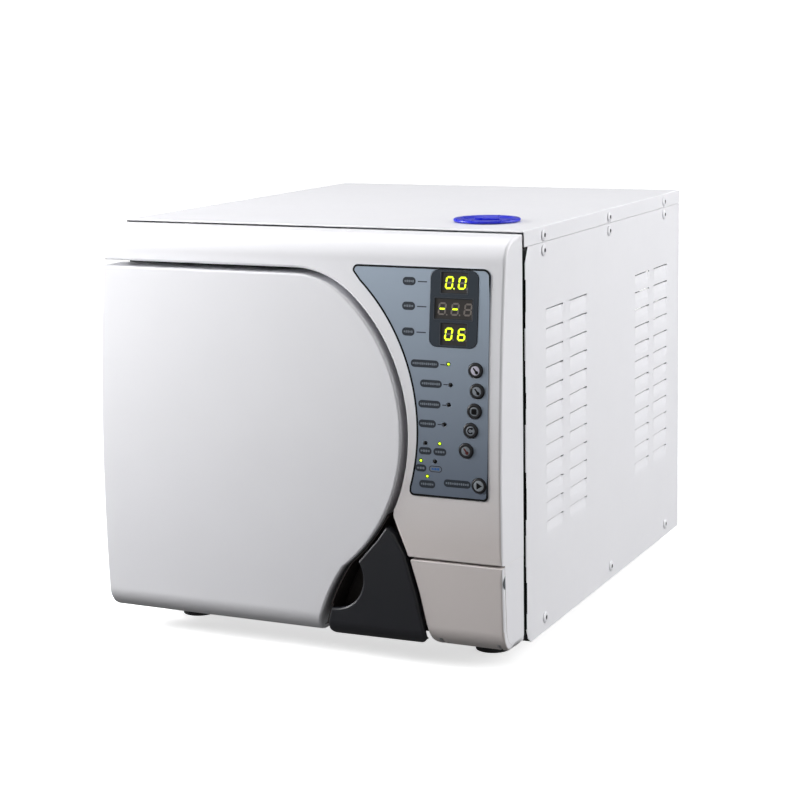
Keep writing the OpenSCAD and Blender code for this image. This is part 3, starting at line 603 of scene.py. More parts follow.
LAMP_LIT = material("lamp_lit", srgb(205, 255, 40), rough=0.2, grain=500, bump=0.02, glow=1.4)
KEY_TOPS = [material(f"key_top_{i}", srgb(*c), rough=0.28, grain=1200, bump=0.08) for i, c in enumerate(
    [(200, 196, 212), (136, 142, 150), (118, 124, 130), (128, 134, 142), (126, 132, 138),
     (140, 146, 152)])]
# Painted shade: the white of the front mouldings turns darker and warmer towards the bottom, where less
# light reaches.
FRONT_SHADE_LOOK = material("front_painted_shade", WHITE, rough=0.34, grain=1500, bump=0.05)
fade(FRONT_SHADE_LOOK, srgb(220, 213, 211), srgb(238, 238, 242), 0.13, 0.28)
# Painted light: the recess behind the handle gets a lighter brown-grey than its black plastic, standing in
# for light that reaches into it.
RECESS_PAINTED_LIGHT = material("recess_painted_light", srgb(66, 60, 58), rough=0.5, grain=1100, bump=0.22)
OVERLAY = LOOK["overlay_film"]
fade(OVERLAY, srgb(102, 112, 127), srgb(162, 176, 192), 0.175, 0.400)

# ---------- the frame's own parts keep their shape and get a finish ----------

SLOT_OF = {part["node"]: part["material_slot"] for part in frame["record"]["subparts"]}
for name, obj in frame["nodes"].items():
    obj.data.materials.clear()
    # the handle recess takes the lightened colour, a painted light
    obj.data.materials.append(RECESS_PAINTED_LIGHT if name == "handle_recess" else LOOK[SLOT_OF[name]])

# ---------- door ----------


def heel_side(r, z0):
    """Angles on the heel circle from height z0 up to the door's round edge."""
    p = crossing(AXIS, DOOR_R, HEEL, r, -1)
    return 180 - math.degrees(math.asin((z0 - HEEL[1]) / r)), angle_of(p - HEEL), angle_of(p - AXIS), p


def top_blend(r, z, blend_r):
    """The arc that leads from the circle of radius r round the axis into the level line at z."""
    up = z - blend_r - AXIS[1]
    c = AXIS + [math.sqrt((r - blend_r) ** 2 - up ** 2), up]
    a = angle_of(c - AXIS)
    return a, arc(c, blend_r, a, 90, 14)[1:]


HINGE_STEPS = (17, 15, -15, -17)


def door_wall(p):
    """The side walls end at the door's back, but stop short at the two hinges."""
    at_hinge = (p[:, 0] < 2) & (np.abs(p[:, 2:3] - HINGE_Z).min(axis=1) < 16)
    return np.where(at_hinge, -38.5, DOOR_BACK)


def door_loop():
    low, high, a_low, _ = heel_side(HEEL_R, DOOR_Z0)
    a_top, blend = top_blend(DOOR_R, DOOR_Z1, DOOR_FILLET)
    return path(arc(HEEL, HEEL_R, low, high, 20), arc(AXIS, DOOR_R, a_low, a_top, 60), blend,
                (LEFT_X, DOOR_Z1), *[(LEFT_X, z + d) for z in HINGE_Z[::-1] for d in HINGE_STEPS],
                (LEFT_X, DOOR_Z0))


def ease(t):
    t = np.clip(t, 0, 1)
    return t * t * (3 - 2 * t)


def foot_lift(profile, back):
    """Spreads the ends of the side walls near the underside, so that no face is folded flat."""
    s_end = profile.s_back(back)

    def lift(s):
        return 3 * np.where(s < 0, (s - s_end) / -s_end, np.maximum(0, 1 - s / 60))
    return lift


door_profile = moulding_profile(DOOR_REACH, DOOR_Z0, DOOR_Z1 + 12, 25, DOOR_BACK)
door_end = door_profile.s_back(DOOR_BACK - 0.5)
door_uv = to_s(door_profile, tidy_loop(door_loop(), 5), DOOR_Z0, door_end)


def fine_levels(profile, s_end, top, step):
    foot = np.arange(2.5, 42, 2.6)
    return np.concatenate([levels(s_end, 0, 9), [0.0], foot, levels(42, top, step)])


build("door_moulding", [shell(tidy_loop(door_uv, 6), on_profile(door_profile),
                   radius=2.5, depth=3.0, wall=(1, door_wall), rings=5,
                   vs=fine_levels(door_profile, door_end, door_profile.s_of(DOOR_Z1), 9),
                   lift=foot_lift(door_profile, DOOR_BACK - 0.5))],
                   "door", [LOOK["white_moulding"]], ["door_cover"])

# ---------- fascia ----------


def side_finish(obj, look):
    """Gives the faces that look to the right the plain white finish, outside the painted shade that darkens
    the front towards the bottom.
    """
    obj.data.materials.append(look)
    for face in obj.data.polygons:
        if face.normal.x > 0.75:
            face.material_index = 1



EDGE = [(327.1, 134.3), (342.6, 94.7), (353.0, 57.5), (360.4, 21.0)]
fascia_profile = fascia_line()
fascia_top = fascia_profile.s[-2] - 0.6


def fascia_loop():
    e = np.array(EDGE)
    a_top, blend = top_blend(OPEN_R, BAR_Z, OPEN_FILLET)
    a_low = angle_of(e[0] - AXIS)
    slot_x = e[1][0] + (e[2][0] - e[1][0]) * (e[1][1] - SLOT_Z) / (e[1][1] - e[2][1])
    return path((LEFT_X, BAR_Z), blend[::-1], arc(AXIS, OPEN_R, a_top, a_low, 60)[:-1],
                fillet(AXIS + OPEN_R * np.array([math.cos(math.radians(a_low + 3)),
                       math.sin(math.radians(a_low + 3))]), e[0], e[1], 12, 5),
                (slot_x - 0.4, SLOT_Z + 1.2), (slot_x + 1.2, SLOT_Z), (CAB_W, SLOT_Z))


body = tidy_loop(np.vstack([fascia_loop(), [CAB_W, 380]]), 5)
cut = np.argmax((body[:, 0] >= CAB_W - 1e-6) & (body[:, 1] >= 379))
body = body[:cut + 1]
body_uv = np.column_stack([body[:, 0], fascia_profile.s_of(body[:, 1])])
fascia_uv = path(body_uv, (CAB_W, fascia_top), (LEFT_X, fascia_top))


def draft(g):
    """Leans the right side wall of a front moulding inwards to the front, and rounds its lower corner."""
    r = 8.0
    for p in g.p:
        part = np.clip((p[0] - 430) / 15, 0, 1)
        up = min(max(p[2] - DOOR_Z0, 0), r)
        p[0] -= part * (3.0 * np.clip((-p[1] - 6.5) / 48, 0, 1) + r - math.sqrt(r * r - (r - up) ** 2))
    for face, normals in zip(g.f, g.n):
        for k, (i, n) in enumerate(zip(face, normals)):
            if g.p[i][0] > 435 and n[0] > 0.2:
                up = min(max(g.p[i][2] - DOOR_Z0, 0.3), r)
                slope = (r - up) / math.sqrt(r * r - (r - up) ** 2)
                v = np.array([n[0], n[1] - 0.06 * n[0], n[2] - slope * n[0]])
                normals[k] = tuple(v / np.linalg.norm(v))
    return g


def fascia_radius(p):
    x, s = p[:, 0], p[:, 1]
    right = ease((x - 436) / 8) * ease((s - fascia_profile.s_of(SLOT_Z)) / 14)
    top = ease((s - fascia_top + 14) / 14)
    slot = ease((fascia_profile.s_of(98.0) - s) / 8)
    return (2.6 - 2.1 * slot + 1.2 * right) * (1 - top) + 1.0 * top


def holes_on(profile, dr):
    """The openings in the fascia for keys and lamps, over (x, s)."""
    made = []
    for x, z in KEYS:
        made.append(circle((x, float(profile.s_of(z))), 7.6 + dr, 48))
    for x, z in LAMPS:
        made.append(circle((x, float(profile.s_of(z))), 2.1 + dr, 20))
    return made


def xs(profile, loop):
    """An (x, z) outline over (x, s)."""
    return np.column_stack([loop[:, 0], profile.s_of(loop[:, 1])])


window_hole = xs(fascia_profile, round_rect(369, 305, 414.6, 373.6, 5))
s_arc = fascia_profile.s_of(378)
fascia_vs = np.concatenate([levels(fascia_profile.s_of(SLOT_Z), s_arc, 9), [s_arc],
                            s_arc + np.arange(2.5, 36, 2.6), levels(s_arc + 36, fascia_top, 8)])
fascia_shell = shell(tidy_loop(fascia_uv, 6), on_profile(fascia_profile),
                     holes=[*holes_on(fascia_profile, 0), window_hole], radius=fascia_radius,
                     hole_radius=0.3, depth=3.0, wall=(1, FASCIA_BACK), rings=5, vs=fascia_vs)

# the lower side wall, beside the flap
SIDE_FRONT = 5.8


FOOT = (front_y(DOOR_Z0 + 24, FASCIA_REACH) + 24, DOOR_Z0 + 24)


def low_side_loop():
    z = np.linspace(SLOT_Z, 30, 16)
    front = np.column_stack([front_y(z, FASCIA_REACH) + SIDE_FRONT, z])
    return path((FASCIA_BACK, SLOT_Z), front, arc(FOOT, 24 - SIDE_FRONT, 180, 258, 12),
                (-29.4, DOOR_Z0), (FASCIA_BACK, DOOR_Z0))


low_side = shell(tidy_loop(low_side_loop(), 5), flat((CAB_W, 0, 0), Y, Z), radius=0.5, depth=3.0, grid=9)
# the fascia's front carries the painted shade towards the bottom; its right-facing faces keep the plain
# white
fascia_piece = build("fascia_moulding", [draft(fascia_shell), draft(low_side)], "cabinet", [FRONT_SHADE_LOOK],
                     ["fascia"])

side_finish(fascia_piece, LOOK["white_moulding"])

# ---------- service flap ----------

flap_profile = moulding_profile(FASCIA_REACH, DOOR_Z0, 110, 24, -30)
FLAP_RIGHT = CAB_W - 0.2


def flap_loop():
    e = np.array(EDGE) + [1.5, 0]
    lean = (e[3][0] - e[2][0]) / (e[2][1] - e[3][1])
    corner = np.array([e[3][0] + (e[3][1] - DOOR_Z0) * lean, DOOR_Z0])
    foot = fillet(e[2], corner, np.array([400, DOOR_Z0]), 11, 10)
    return path((e[1][0] + 2.4, FLAP_Z1), (e[1][0] + 1.4, FLAP_Z1 - 1.6), e[2], foot,
                *[(x + d, z) for x in EAR_X for d, z in EAR_NOTCH], (FLAP_RIGHT, DOOR_Z0),
                (FLAP_RIGHT, FLAP_Z1))


EAR_NOTCH = ((-1.9, DOOR_Z0), (-1.9, 12.4), (1.9, 12.4), (1.9, DOOR_Z0))
flap_end = flap_profile.s_back(-30.6)
flap_uv = to_s(flap_profile, tidy_loop(flap_loop(), 4), DOOR_Z0, flap_end)


def flap_radius(p):
    right = ease((p[:, 0] - 436) / 8) * ease((p[:, 1] - 20) / 20)
    return 1.2 + 2.2 * right * ease((flap_profile.s_of(FLAP_Z1) - p[:, 1]) / 10)


def flap_back(p):
    """The walls end at the body's back, and at the corner strip's edge on the right."""
    yc, zc = FOOT
    strip = np.clip((p[:, 0] - 441) / 1.5, 0, 1)
    low = yc - np.sqrt(np.maximum(0, 18.8 ** 2 - np.maximum(0, zc - p[:, 2]) ** 2))
    edge = np.minimum(np.where(p[:, 2] > zc, front_y(p[:, 2], FASCIA_REACH) + 5.2, low), -30)
    back = -30 * (1 - strip) + np.maximum(p[:, 1] + 0.1, edge) * strip
    at_ear = (np.abs(p[:, :1] - EAR_X).min(axis=1) < 2.6) & (p[:, 2] < 13.5)
    return np.where(at_ear, np.maximum(p[:, 1] + 1.2, -45), back)


# the flap's front also carries the painted shade towards the bottom
flap_piece = build("flap_moulding", [draft(shell(tidy_loop(flap_uv, 4), on_profile(flap_profile),
                   radius=flap_radius, depth=1.6, wall=(1, flap_back), rings=5, grid=7,
                   vs=fine_levels(flap_profile, flap_end, flap_profile.s_of(FLAP_Z1), 7),
                   lift=foot_lift(flap_profile, -30.6)))],
                   "flap", [FRONT_SHADE_LOOK], ["service_flap"])

side_finish(flap_piece, LOOK["white_moulding"])
# Painted shade: a dark plate on the flap's right side stands in for the shade inside a small notch there.
notch_shade = path((-47.2, 69.4), (-47.2, 82.6), arc((-44.6, 76), 7.1, 112, 248, 12))
notch_shade = shell(tidy_loop(notch_shade, 2), flat((CAB_W - 2.45, 0, 0), Y, Z), radius=0.1, depth=0.4, rings=1,
              grid=99)
build("flap_notch_shade", [notch_shade], "flap", [LOOK["pump_casting"]])

# ---------- control panel ----------


def overlay_loop(inset):
    c, r = (160.6, 218.0), 193.8 + inset
    return path(arc((420.7, 369.4), 8 - inset, 0, 90, 8), arc((289, 372), 5.4 - inset, 90, 200, 10),
                arc(c, r, 47.5, -16, 50), arc((351.5, 160.6), 5 - inset, 190, 270, 8),
                arc((423.7, 160.6), 5 - inset, 270, 360, 8))


FILM = 0.6
film_surface = on_profile(fascia_profile, FILM)
ink_surface = on_profile(fascia_profile, FILM + 0.05)


def ink(loop, holes=(), level=0.0, grid=14.0):
    """A thin print on the film, from an (x, z) outline."""
    surface = ink_surface if level == 0 else on_profile(fascia_profile, FILM + 0.05 + level)
    return shell(tidy_loop(xs(fascia_profile, loop), 7), surface,
                 holes=[xs(fascia_profile, h) for h in holes], radius=0.03, hole_radius=0.03,
                 depth=0.06, rings=1, grid=grid)


window_cut = xs(fascia_profile, round_rect(*grow(WINDOW, 0.2), 8, 10))
film = shell(tidy_loop(xs(fascia_profile, overlay_loop(0)), 6), film_surface,
             holes=[*holes_on(fascia_profile, 0.1), window_cut], radius=0.25, hole_radius=0.15,
             depth=FILM, rings=3, grid=9)
build("overlay_sheet", [film], "cabinet", [OVERLAY], ["control_overlay"])
border = ink(overlay_loop(0.15), [overlay_loop(2.1)], grid=2000.0)
build("overlay_border", [border], "cabinet", [PRINT_BLACK])


def pill(x0, z0, x1, z1):
    return round_rect(x0, z0, x1, z1, (z1 - z0) / 2 * 0.96, 6)


PILLS = [(337.5, 359.6, 351.2, 366.5), (337.6, 335.9, 351.3, 342.8), (338.1, 311.2, 351.3, 318.1),
         (348, 281.6, 377.3, 287.9), (358, 262.7, 380.8, 269.0), (356.4, 242.9, 379.7, 249.2),
         (356.7, 223.8, 375, 230.3), (357, 197.4, 370.4, 203.6), (372.3, 197.4, 385.8, 203.6),
         (353.1, 180.5, 364.8, 186.4), (357.1, 164.8, 374, 171.3), (383, 167.5, 410.9, 173.9)]
pills = [ink(pill(a, b - 0.5, c, d + 0.5)) for a, b, c, d in PILLS]
build("panel_pills", pills, "cabinet", [PRINT_SLATE])
ghost = ink(pill(367.6, 180.3, 381.2, 186.6), [pill(368.4, 181.1, 380.4, 185.8)])
leads = [ink(round_rect(353.4, z - 0.55, 363.2, z + 0.55, 0.3, 2)) for z in (363.0, 339.2, 314.6)]
for (px, pz), (lx, lz) in [((377.3, 284.8), LAMPS[0]), ((380.8, 265.9), LAMPS[1]),
                           ((379.7, 246.1), LAMPS[2]), ((375.0, 227.1), LAMPS[3])]:
    leads.append(ink(round_rect(px + 1.6, pz - 0.5, lx - 2.6, pz + 0.5, 0.3, 2)))
build("panel_leads", [ghost, *leads], "cabinet", [PRINT_LINE])


def dashes(x0, z0, x1, z1, count):
    """Plain upright bars that stand for a caption."""
    gap = 0.6
    width = ((x1 - x0) - 4.0 - gap * (count - 1)) / count
    z, out = (z0 + z1) / 2, []
    for k in range(count):
        x = x0 + 2.0 + k * (width + gap)
        half = 1.1 if k % 3 else 0.85
        out.append(ink(round_rect(x, z - half, x + width, z + half, 0.3, 2), level=0.06))
    return out


captions = []
for (x0, z0, x1, z1), n in zip(PILLS, (5, 4, 5, 13, 9, 10, 7, 4, 4, 3, 7, 11)):
    captions += dashes(x0, z0, x1, z1, n)
build("panel_captions", captions, "cabinet", [PRINT_PALE])
build("panel_drop_mark", dashes(368.4, 181.1, 380.4, 185.8, 3), "cabinet", [PRINT_BLUE])

# ---------- display ----------

BEZEL = 1.0
SCREENS = [(378.2, 353.4, 404.9, 372.8), (372.0, 328.6, 410.6, 347.9), (378.8, 304.0, 405.4, 324.6)]
bezel_surface = on_profile(fascia_profile, BEZEL)
screen_cuts = [xs(fascia_profile, round_rect(*s, 0.6, 2)) for s in SCREENS]
bezel = shell(tidy_loop(xs(fascia_profile, round_rect(*WINDOW, 8, 10)), 6), bezel_surface,
              holes=screen_cuts, radius=0.5, hole_radius=0.25, depth=1.4, rings=3, grid=9)
build("display_bezel", [bezel], "cabinet", [LOOK["display_lens"]], ["display_window"])


def on_bezel(loop, holes=(), lift=0.04, depth=0.05):
    return shell(tidy_loop(xs(fascia_profile, loop), 9), on_profile(fascia_profile, BEZEL + lift),
                 holes=[xs(fascia_profile, h) for h in holes], radius=0.02, hole_radius=0.02,
                 depth=depth, rings=1, grid=2000.0)


rims = [on_bezel(round_rect(*grow(s, 1.3), 1.2, 3), [round_rect(*grow(s, 0.5), 0.8, 3)]) for s in SCREENS]
build("display_rims", rims, "cabinet", [PRINT_LINE])
DIGIT_FACE = 0.15
faces = [shell(xs(fascia_profile, round_rect(*grow(s, 0.8), 0.6, 2)), on_profile(fascia_profile, DIGIT_FACE),
               radius=0.05, depth=0.5, rings=1, grid=8) for s in SCREENS]
build("display_modules", faces, "cabinet", [MODULE_FACE])

SEG = {"a": (0, 1, 1, 1), "b": (1, 0.5, 1, 1), "c": (1, 0, 1, 0.5), "d": (0, 0, 1, 0),
       "e": (0, 0, 0, 0.5), "f": (0, 0.5, 0, 1), "g": (0, 0.5, 1, 0.5)}
DIGITS = {"0": "abcdef", "6": "afgedc", "-": "g", " ": ""}
CELL_W, CELL_H, STROKE, LEAN = 6.6, 10.5, 1.75, 0.13


def segment(x, z, which):
    """One bar of a digit whose lower left centre line corner is at (x, z)."""
    u0, v0, u1, v1 = SEG[which]
    a = np.array([u0 * CELL_W, v0 * CELL_H])
    b = np.array([u1 * CELL_W, v1 * CELL_H])
    d = (b - a) / np.linalg.norm(b - a)
    n = np.array([-d[1], d[0]]) * STROKE / 2
    a, b = a + d * 0.28, b - d * 0.28
    k = d * STROKE * 0.42
    pts = np.array([a, a + k - n, b - k - n, b, b - k + n, a + k + n])
    pts[:, 0] += x + (pts[:, 1] - CELL_H / 2) * LEAN
    pts[:, 1] += z
    return pts


lit, dim = [], []
for (x, z, text) in [(382.9, 357.9, "00"), (376.2, 332.9, "-- "), (383.5, 309.1, "06")]:
    for i, ch in enumerate(text):
        on = DIGITS[ch]
        for which in SEG:
            bar = shell(xs(fascia_profile, segment(x + 13.3 * i, z, which)),
                        on_profile(fascia_profile, DIGIT_FACE + (0.14 if which in on else 0.06)),
                        radius=0.05, depth=0.12, rings=1, grid=2000.0)
            (lit if which in on else dim).append(bar)
        dot = shell(xs(fascia_profile, circle((x + 13.3 * i + CELL_W + 1.5, z - 0.2), 0.75, 16)),
                    on_profile(fascia_profile, DIGIT_FACE + 0.1), radius=0.05, depth=0.12, rings=1,
                    grid=2000.0)
        (lit if (text, i) == ("00", 0) else dim).append(dot)
build("display_segments_lit", lit, "cabinet", [SEGMENT_LIT])
build("display_segments_dark", dim, "cabinet", [SEGMENT_DARK])

# ---------- keys and lamps ----------

KEY_NODES = ["button_display", "button_program_up", "button_program_down", "button_dry",
             "button_temperature", "start_button"]
KEY_BODIES = ["key_display", "key_program_up", "key_program_down", "key_dry", "key_temperature",
              "key_start"]
KEY_SIGNS = [("needle", PRINT_BLACK), ("needle", PRINT_BLACK), ("stop", PRINT_BLACK),
             ("loop", PRINT_BLACK), ("needle", PRINT_RED), ("play", PRINT_BLACK)]


def sign(kind, c):
    """A plain symbol around the point c."""
    if kind == "needle":
        d = np.array([math.cos(math.radians(-52)), math.sin(math.radians(-52))])
        n = np.array([-d[1], d[0]])
        a, b = -d * 3.3, d * 2.2
        body = np.array([a - n * 0.7, b - n * 0.95, b + n * 0.95, a + n * 0.7]) + c
        return [body, circle(np.array(c) + d * 2.1, 1.7, 18)]
    if kind == "stop":
        return [round_rect(c[0] - 2.7, c[1] - 2.7, c[0] + 2.7, c[1] + 2.7, 0.9, 4)]
    if kind == "play":
        return [np.array([(-2.1, -3.4), (3.6, 0), (-2.1, 3.4)]) + c]
    outer = arc(c, 3.1, 60, 330, 20)
    ring = path(outer, arc(c, 1.8, 330, 60, 20))
    tip = np.array([(0.6, 1.2), (3.2, 1.9), (1.5, 3.9)]) + c
    return [ring, tip]


for (x, z), node, body_name, (kind, inkm), top in zip(KEYS, KEY_NODES, KEY_BODIES, KEY_SIGNS, KEY_TOPS):
    face = front_y(z, FASCIA_REACH) - 1.8
    base = np.array([x, -45.2, z])
    h = -45.2 - face
    rim = 5.2 if kind == "play" else 4.5
    cap = lathe([(0, 0), (7.2, 0), (7.2, h - 0.9), (7.08, h - 0.45), (6.8, h - 0.14), (6.35, h),
                 (rim + 0.35, h), (rim + 0.15, h - 0.06), (rim, h - 0.28), (0, h - 0.28)], base, -Y, 64)
    r = rim - 0.05
    disc = lathe([(r, h - 0.3), (r, h - 0.16), (r - 0.15, h - 0.07), (r - 0.5, h - 0.02), (0, h + 0.06)],
                 base, -Y, 64)
    plane = flat((0, face - 0.1, 0), X, Z)
    marks = [(shell(tidy_loop(np.array(m, float), 4), plane, radius=0.04, depth=0.08, rings=1,
                    grid=2000.0), 2) for m in sign(kind, (x, z))]
    build("key_cap_" + body_name[4:], [(cap, 0), (disc, 1), *marks], body_name,
          [LOOK["key_cap"], top, inkm], [node])

collars = []
for lit_now, name, look in ((True, "lamps_lit", LAMP_LIT), (False, "lamps_dark", LAMP_DARK)):
    domes = []
    for i, (x, z) in enumerate(LAMPS):
        if (i in LIT_LAMPS) == lit_now:
            top = front_y(z, FASCIA_REACH)
            r = 1.2 if lit_now else 1.75
            h = [(r, 0), (r, 9.2), (r * 0.97, 9.6), (r * 0.86, 10.0), (r * 0.63, 10.3),
                 (r * 0.34, 10.5), (0, 10.55)]
            domes.append(lathe([(0, 0), *h], (x, top + 9.3, z), -Y, 28))
            if lit_now:
                collar = [(1.3, 0), (2.0, 0), (2.0, 9.5), (1.3, 9.5), (1.3, 0)]
                collars.append(lathe(collar, (x, top + 9.3, z), -Y, 28))
    build(name, domes, "cabinet", [look], ["indicator_lamps"])
build("lamp_collars", collars, "cabinet", [LAMP_DARK])

# ---------- handle ----------

HANDLE_REACH = DOOR_REACH - 0.8
handle_profile = moulding_profile(HANDLE_REACH, 1.5, 140, 20, -30)


def handle_loop():
    e = np.array(EDGE) + [-2.5, 0]
    scoop = (261.0, 66.0)
    tip = fillet(np.array([329.5, 114.0]), np.array([321.4, 121.8]), np.array([311.0, 107.5]), 1.6, 5)
    lean = (e[3][0] - e[2][0]) / (e[2][1] - e[3][1])
    corner = np.array([e[3][0] + (e[3][1] - 5) * lean, 5.0])
    left = fillet(np.array([254.4, 20.0]), np.array([252.4, 3.6]), np.array([350, 4.9]), 6, 6)
    return path(tip, (311.0, 107.5), arc(scoop, 33.4, 31, -95, 36), (254.4, 20.0), left,
                fillet(np.array([300, 4.3]), corner, e[3], 7, 6), e[3], e[2], e[1], (329.5, 114))


def handle_back(p):
    return -46 + 12 * ease((14 - p[:, 2]) / 8)


handle_uv = xs(handle_profile, tidy_loop(handle_loop(), 3))
handle_shell = shell(tidy_loop(handle_uv, 4), on_profile(handle_profile), radius=2.4, depth=3.0,
                     wall=(1, handle_back), rings=6, grid=6,
                     vs=np.concatenate([np.arange(2, 36, 2.4), levels(36, 125, 6)]))
PIVOT = (322.0, -49.5)
CRANK_Y = PIVOT[1] + 25
arm = shell(round_rect(PIVOT[0] - 5, -47, PIVOT[0] + 5, CRANK_Y + 4, 2.5, 4), flat((0, 0, 99), X, Y),
            radius=0.5, depth=4, grid=6)
peg = lathe([(0, 0), (2.1, 0), (2.5, 0.4), (2.5, 11), (0, 11)], (PIVOT[0], CRANK_Y, 84), Z, 32)
build("handle_moulding", [handle_shell, arm, peg], "handle", [LOOK["charcoal_plastic"]],
      ["door_handle"])

# ---------- cabinet sheets ----------

BEND = 1.5
PANEL_Y, PANEL_TOP = 3.6, 393.9
S_ZERO = PANEL_Y + BEND


def side_surface(sign_x):
    """Over (s, z): the side, bent inwards round the front edge for s under 0."""
    x_out = CAB_W if sign_x > 0 else 0.0

    def surface(uv):
        s = uv[:, 0] * sign_x
        t = np.clip(-s / BEND, 0, math.pi / 2)
        y = S_ZERO + np.maximum(s, 0) - BEND * np.sin(t)
        depth = BEND * (1 - np.cos(t)) + np.maximum(-s - BEND * math.pi / 2, 0)
        p = np.column_stack([x_out - sign_x * depth, y, uv[:, 1]])
        n = np.column_stack([sign_x * np.cos(t), -np.sin(t), np.zeros(len(s))])
        u = np.column_stack([sign_x * sign_x * np.sin(t), sign_x * np.cos(t), np.zeros(len(s))])
        return p, n, u, np.tile(Z, (len(s), 1))
    return surface


LOUVRE_Y = [(60, 110), (130, 183), (348, 400), (418, 470)]
LOUVRE_DEPTH = 2.6
BLADE = np.array([0, 0.28, 0.57, 0.85, 1.0])
ROWS = len(BLADE)


def louvre_columns(y0, y1):
    return np.concatenate([[y0, y0 + 1.0, y0 + 2.2, y0 + 3.4], np.linspace(y0 + 3.4, y1 - 3.4, 4)[1:-1],
                           [y1 - 3.4, y1 - 2.2, y1 - 1.0, y1]])


def side_panel_sheet(sign_x):
    """The front side of a side panel with its louvres pressed in, one face thick."""
    k = sign_x
    s_in = -(BEND * math.pi / 2 + 6)
    s_out = CAB_D - S_ZERO
    outer = np.array([(s_in, 13), (10.3, 0), (s_out, 0), (s_out, PANEL_TOP), (s_in, PANEL_TOP)])
    outer[:, 0] *= k
    outer = tidy_loop(outer if area(outer) > 0 else outer[::-1], 14)
    loops, patches = [outer], []
    for y0, y1 in LOUVRE_Y:
        for i in range(12):
            top = 327 - 19.6 * i
            cols = (louvre_columns(y0, y1) - S_ZERO) * k
            rows = top - 12 + 12 * BLADE
            ring = [(c, rows[0]) for c in cols] + [(cols[-1], r) for r in rows[1:]]
            ring += [(c, rows[-1]) for c in cols[-2::-1]] + [(cols[0], r) for r in rows[-2:0:-1]]
            patches.append((cols, rows, len(loops)))
            loops.append(np.array(ring, float))
    curve = np.array([0.0, -0.5, -1.0, -1.5, -2.0]) * k
    rows = levels(0, PANEL_TOP, 16)
    free = grid_in(loops, np.concatenate([curve, levels(0, s_out, 16) * k]), rows, 3)
    verts, tris, where = triangulate(loops, free)
    surface = side_surface(k)
    p, n, _, _ = surface(verts)
    g = Geo()
    ids = g.points(p)
    for t in tris:
        g.face(ids[t] if k * area(verts[t]) * k > 0 else ids[t[::-1]], n[t])
    starts = np.cumsum([0] + [len(q) for q in loops])
    for cols, rows, at in patches:
        first = starts[at]
        grid_ids = -np.ones((len(cols), ROWS), int)
        c = len(cols)
        for i in range(c):
            grid_ids[i, 0] = ids[where[first + i]]
        for j in range(1, ROWS):
            grid_ids[-1, j] = ids[where[first + c - 1 + j]]
        side0 = first + c - 1 + (ROWS - 1) + (c - 1)
        grid_ids[0, -1] = ids[where[side0]]
        for j in range(ROWS - 2, 0, -1):
            grid_ids[0, j] = ids[where[side0 + (ROWS - 1 - j)]]
        for i in range(1, c - 1):
            edge = min(abs(cols[i] - cols[0]), abs(cols[-1] - cols[i]))
            for j in range(1, ROWS):
                d = LOUVRE_DEPTH * BLADE[j] * float(ease(edge / 3.4))
                q, nn, _, _ = surface(np.array([(cols[i], rows[j])]))
                grid_ids[i, j] = g.points(q - nn * d)[0]
        for i in range(c - 1):
            for j in range(ROWS - 2):
                quad = [grid_ids[i, j], grid_ids[i + 1, j], grid_ids[i + 1, j + 1], grid_ids[i, j + 1]]
                if k < 0:
                    quad = quad[::-1]
                g.face(quad, [Z * 0] * 4)
    return g


def plain(name, g, body, looks, replaces, thickness):
    """An object from a one-sided sheet, thickened inwards."""
    obj = new_object(name, in_frame(g.p), g.f, looks)
    mesh = obj.data
    mesh.set_sharp_from_angle(angle=math.radians(30))
    uses = {}
    for face in mesh.polygons:
        for key in face.edge_keys:
            uses[key] = uses.get(key, 0) + 1
    for edge in mesh.edges:
        if uses.get(edge.key, 0) == 1:
            edge.use_edge_sharp = True
    thick = obj.modifiers.new("thickness", "SOLIDIFY")
    thick.thickness = thickness * MM
    thick.offset = -1
    mount(obj, body, replaces)
    return obj


# painted shade: the return behind the front bend is given the black of the frame it covers, so the gap
# beside the fascia reads dark
SHADED_RETURN_X, SHADED_RETURN_Y = 0.2209, -0.225
for k, label in ((1, "right"), (-1, "left")):
    sheet = plain("side_sheet_" + label, side_panel_sheet(k), "cabinet",
                  [LOOK["cabinet_paint"], LOOK["frame_black"]],
                  ["side_panel_" + label], 1.2)
    for face in sheet.data.polygons:
        # the return's faces take the black of the painted shade
        if abs(face.center.x) < SHADED_RETURN_X and face.center.y < SHADED_RETURN_Y:
            face.material_index = 1

lid_loop = tidy_loop(np.array([(0, 0), (CAB_W, 0), (CAB_W, 0.7), (CAB_W, CAB_D), (0, CAB_D), (0, 0.7)],
                              float), 30)


def lid_radius(p):
    return np.full(len(p), 1.3)


def lid_edge(p):
    """The front lip is short; the other flanges lap over the side and rear panels."""
    return np.where(p[:, 1] < 0.5, 408.4, 394.3)


lid = shell(lid_loop, flat((0, 0, CAB_H), X, Y), holes=[circle(CAP, 30.4, 64)], radius=lid_radius,
            hole_radius=0.5, depth=1.2, wall=(2, lid_edge), rings=5, grid=22)
build("cover_sheet", [lid], "cabinet", [LOOK["cabinet_paint"]], ["top_cover"])

# ---------- screws, cap ----------


def screw(origin, axis):
    head = [(1.7, -6), (1.7, 0), (5.3, 0), (5.75, 0.35), (5.7, 0.8), (5.2, 1.35), (4.2, 1.85),
            (3.0, 2.1), (2.5, 2.15), (2.2, 1.95)]
    well = [(2.2, 1.95), (1.5, 0.5), (0.0, 0.2)]
    return [(lathe([(0, -6), *head], origin, axis, 32), 0), (lathe(well, origin, axis, 24), 1)]


RECESS = material("screw_recess", srgb(54, 54, 56), rough=0.5, metal=0.6, grain=800, bump=0.2)
screws = []
for y, z in SIDE_SCREWS + COVER_SCREWS:
    screws += screw((CAB_W, y, z), X) + screw((0, y, z), -X)
for x in (14, 222, 431):
    for z in (30, 386):
        screws += screw((x, CAB_D, z), Y)
build("pan_screws", screws, "cabinet", [LOOK["screw_white"], RECESS], ["cover_screws"])

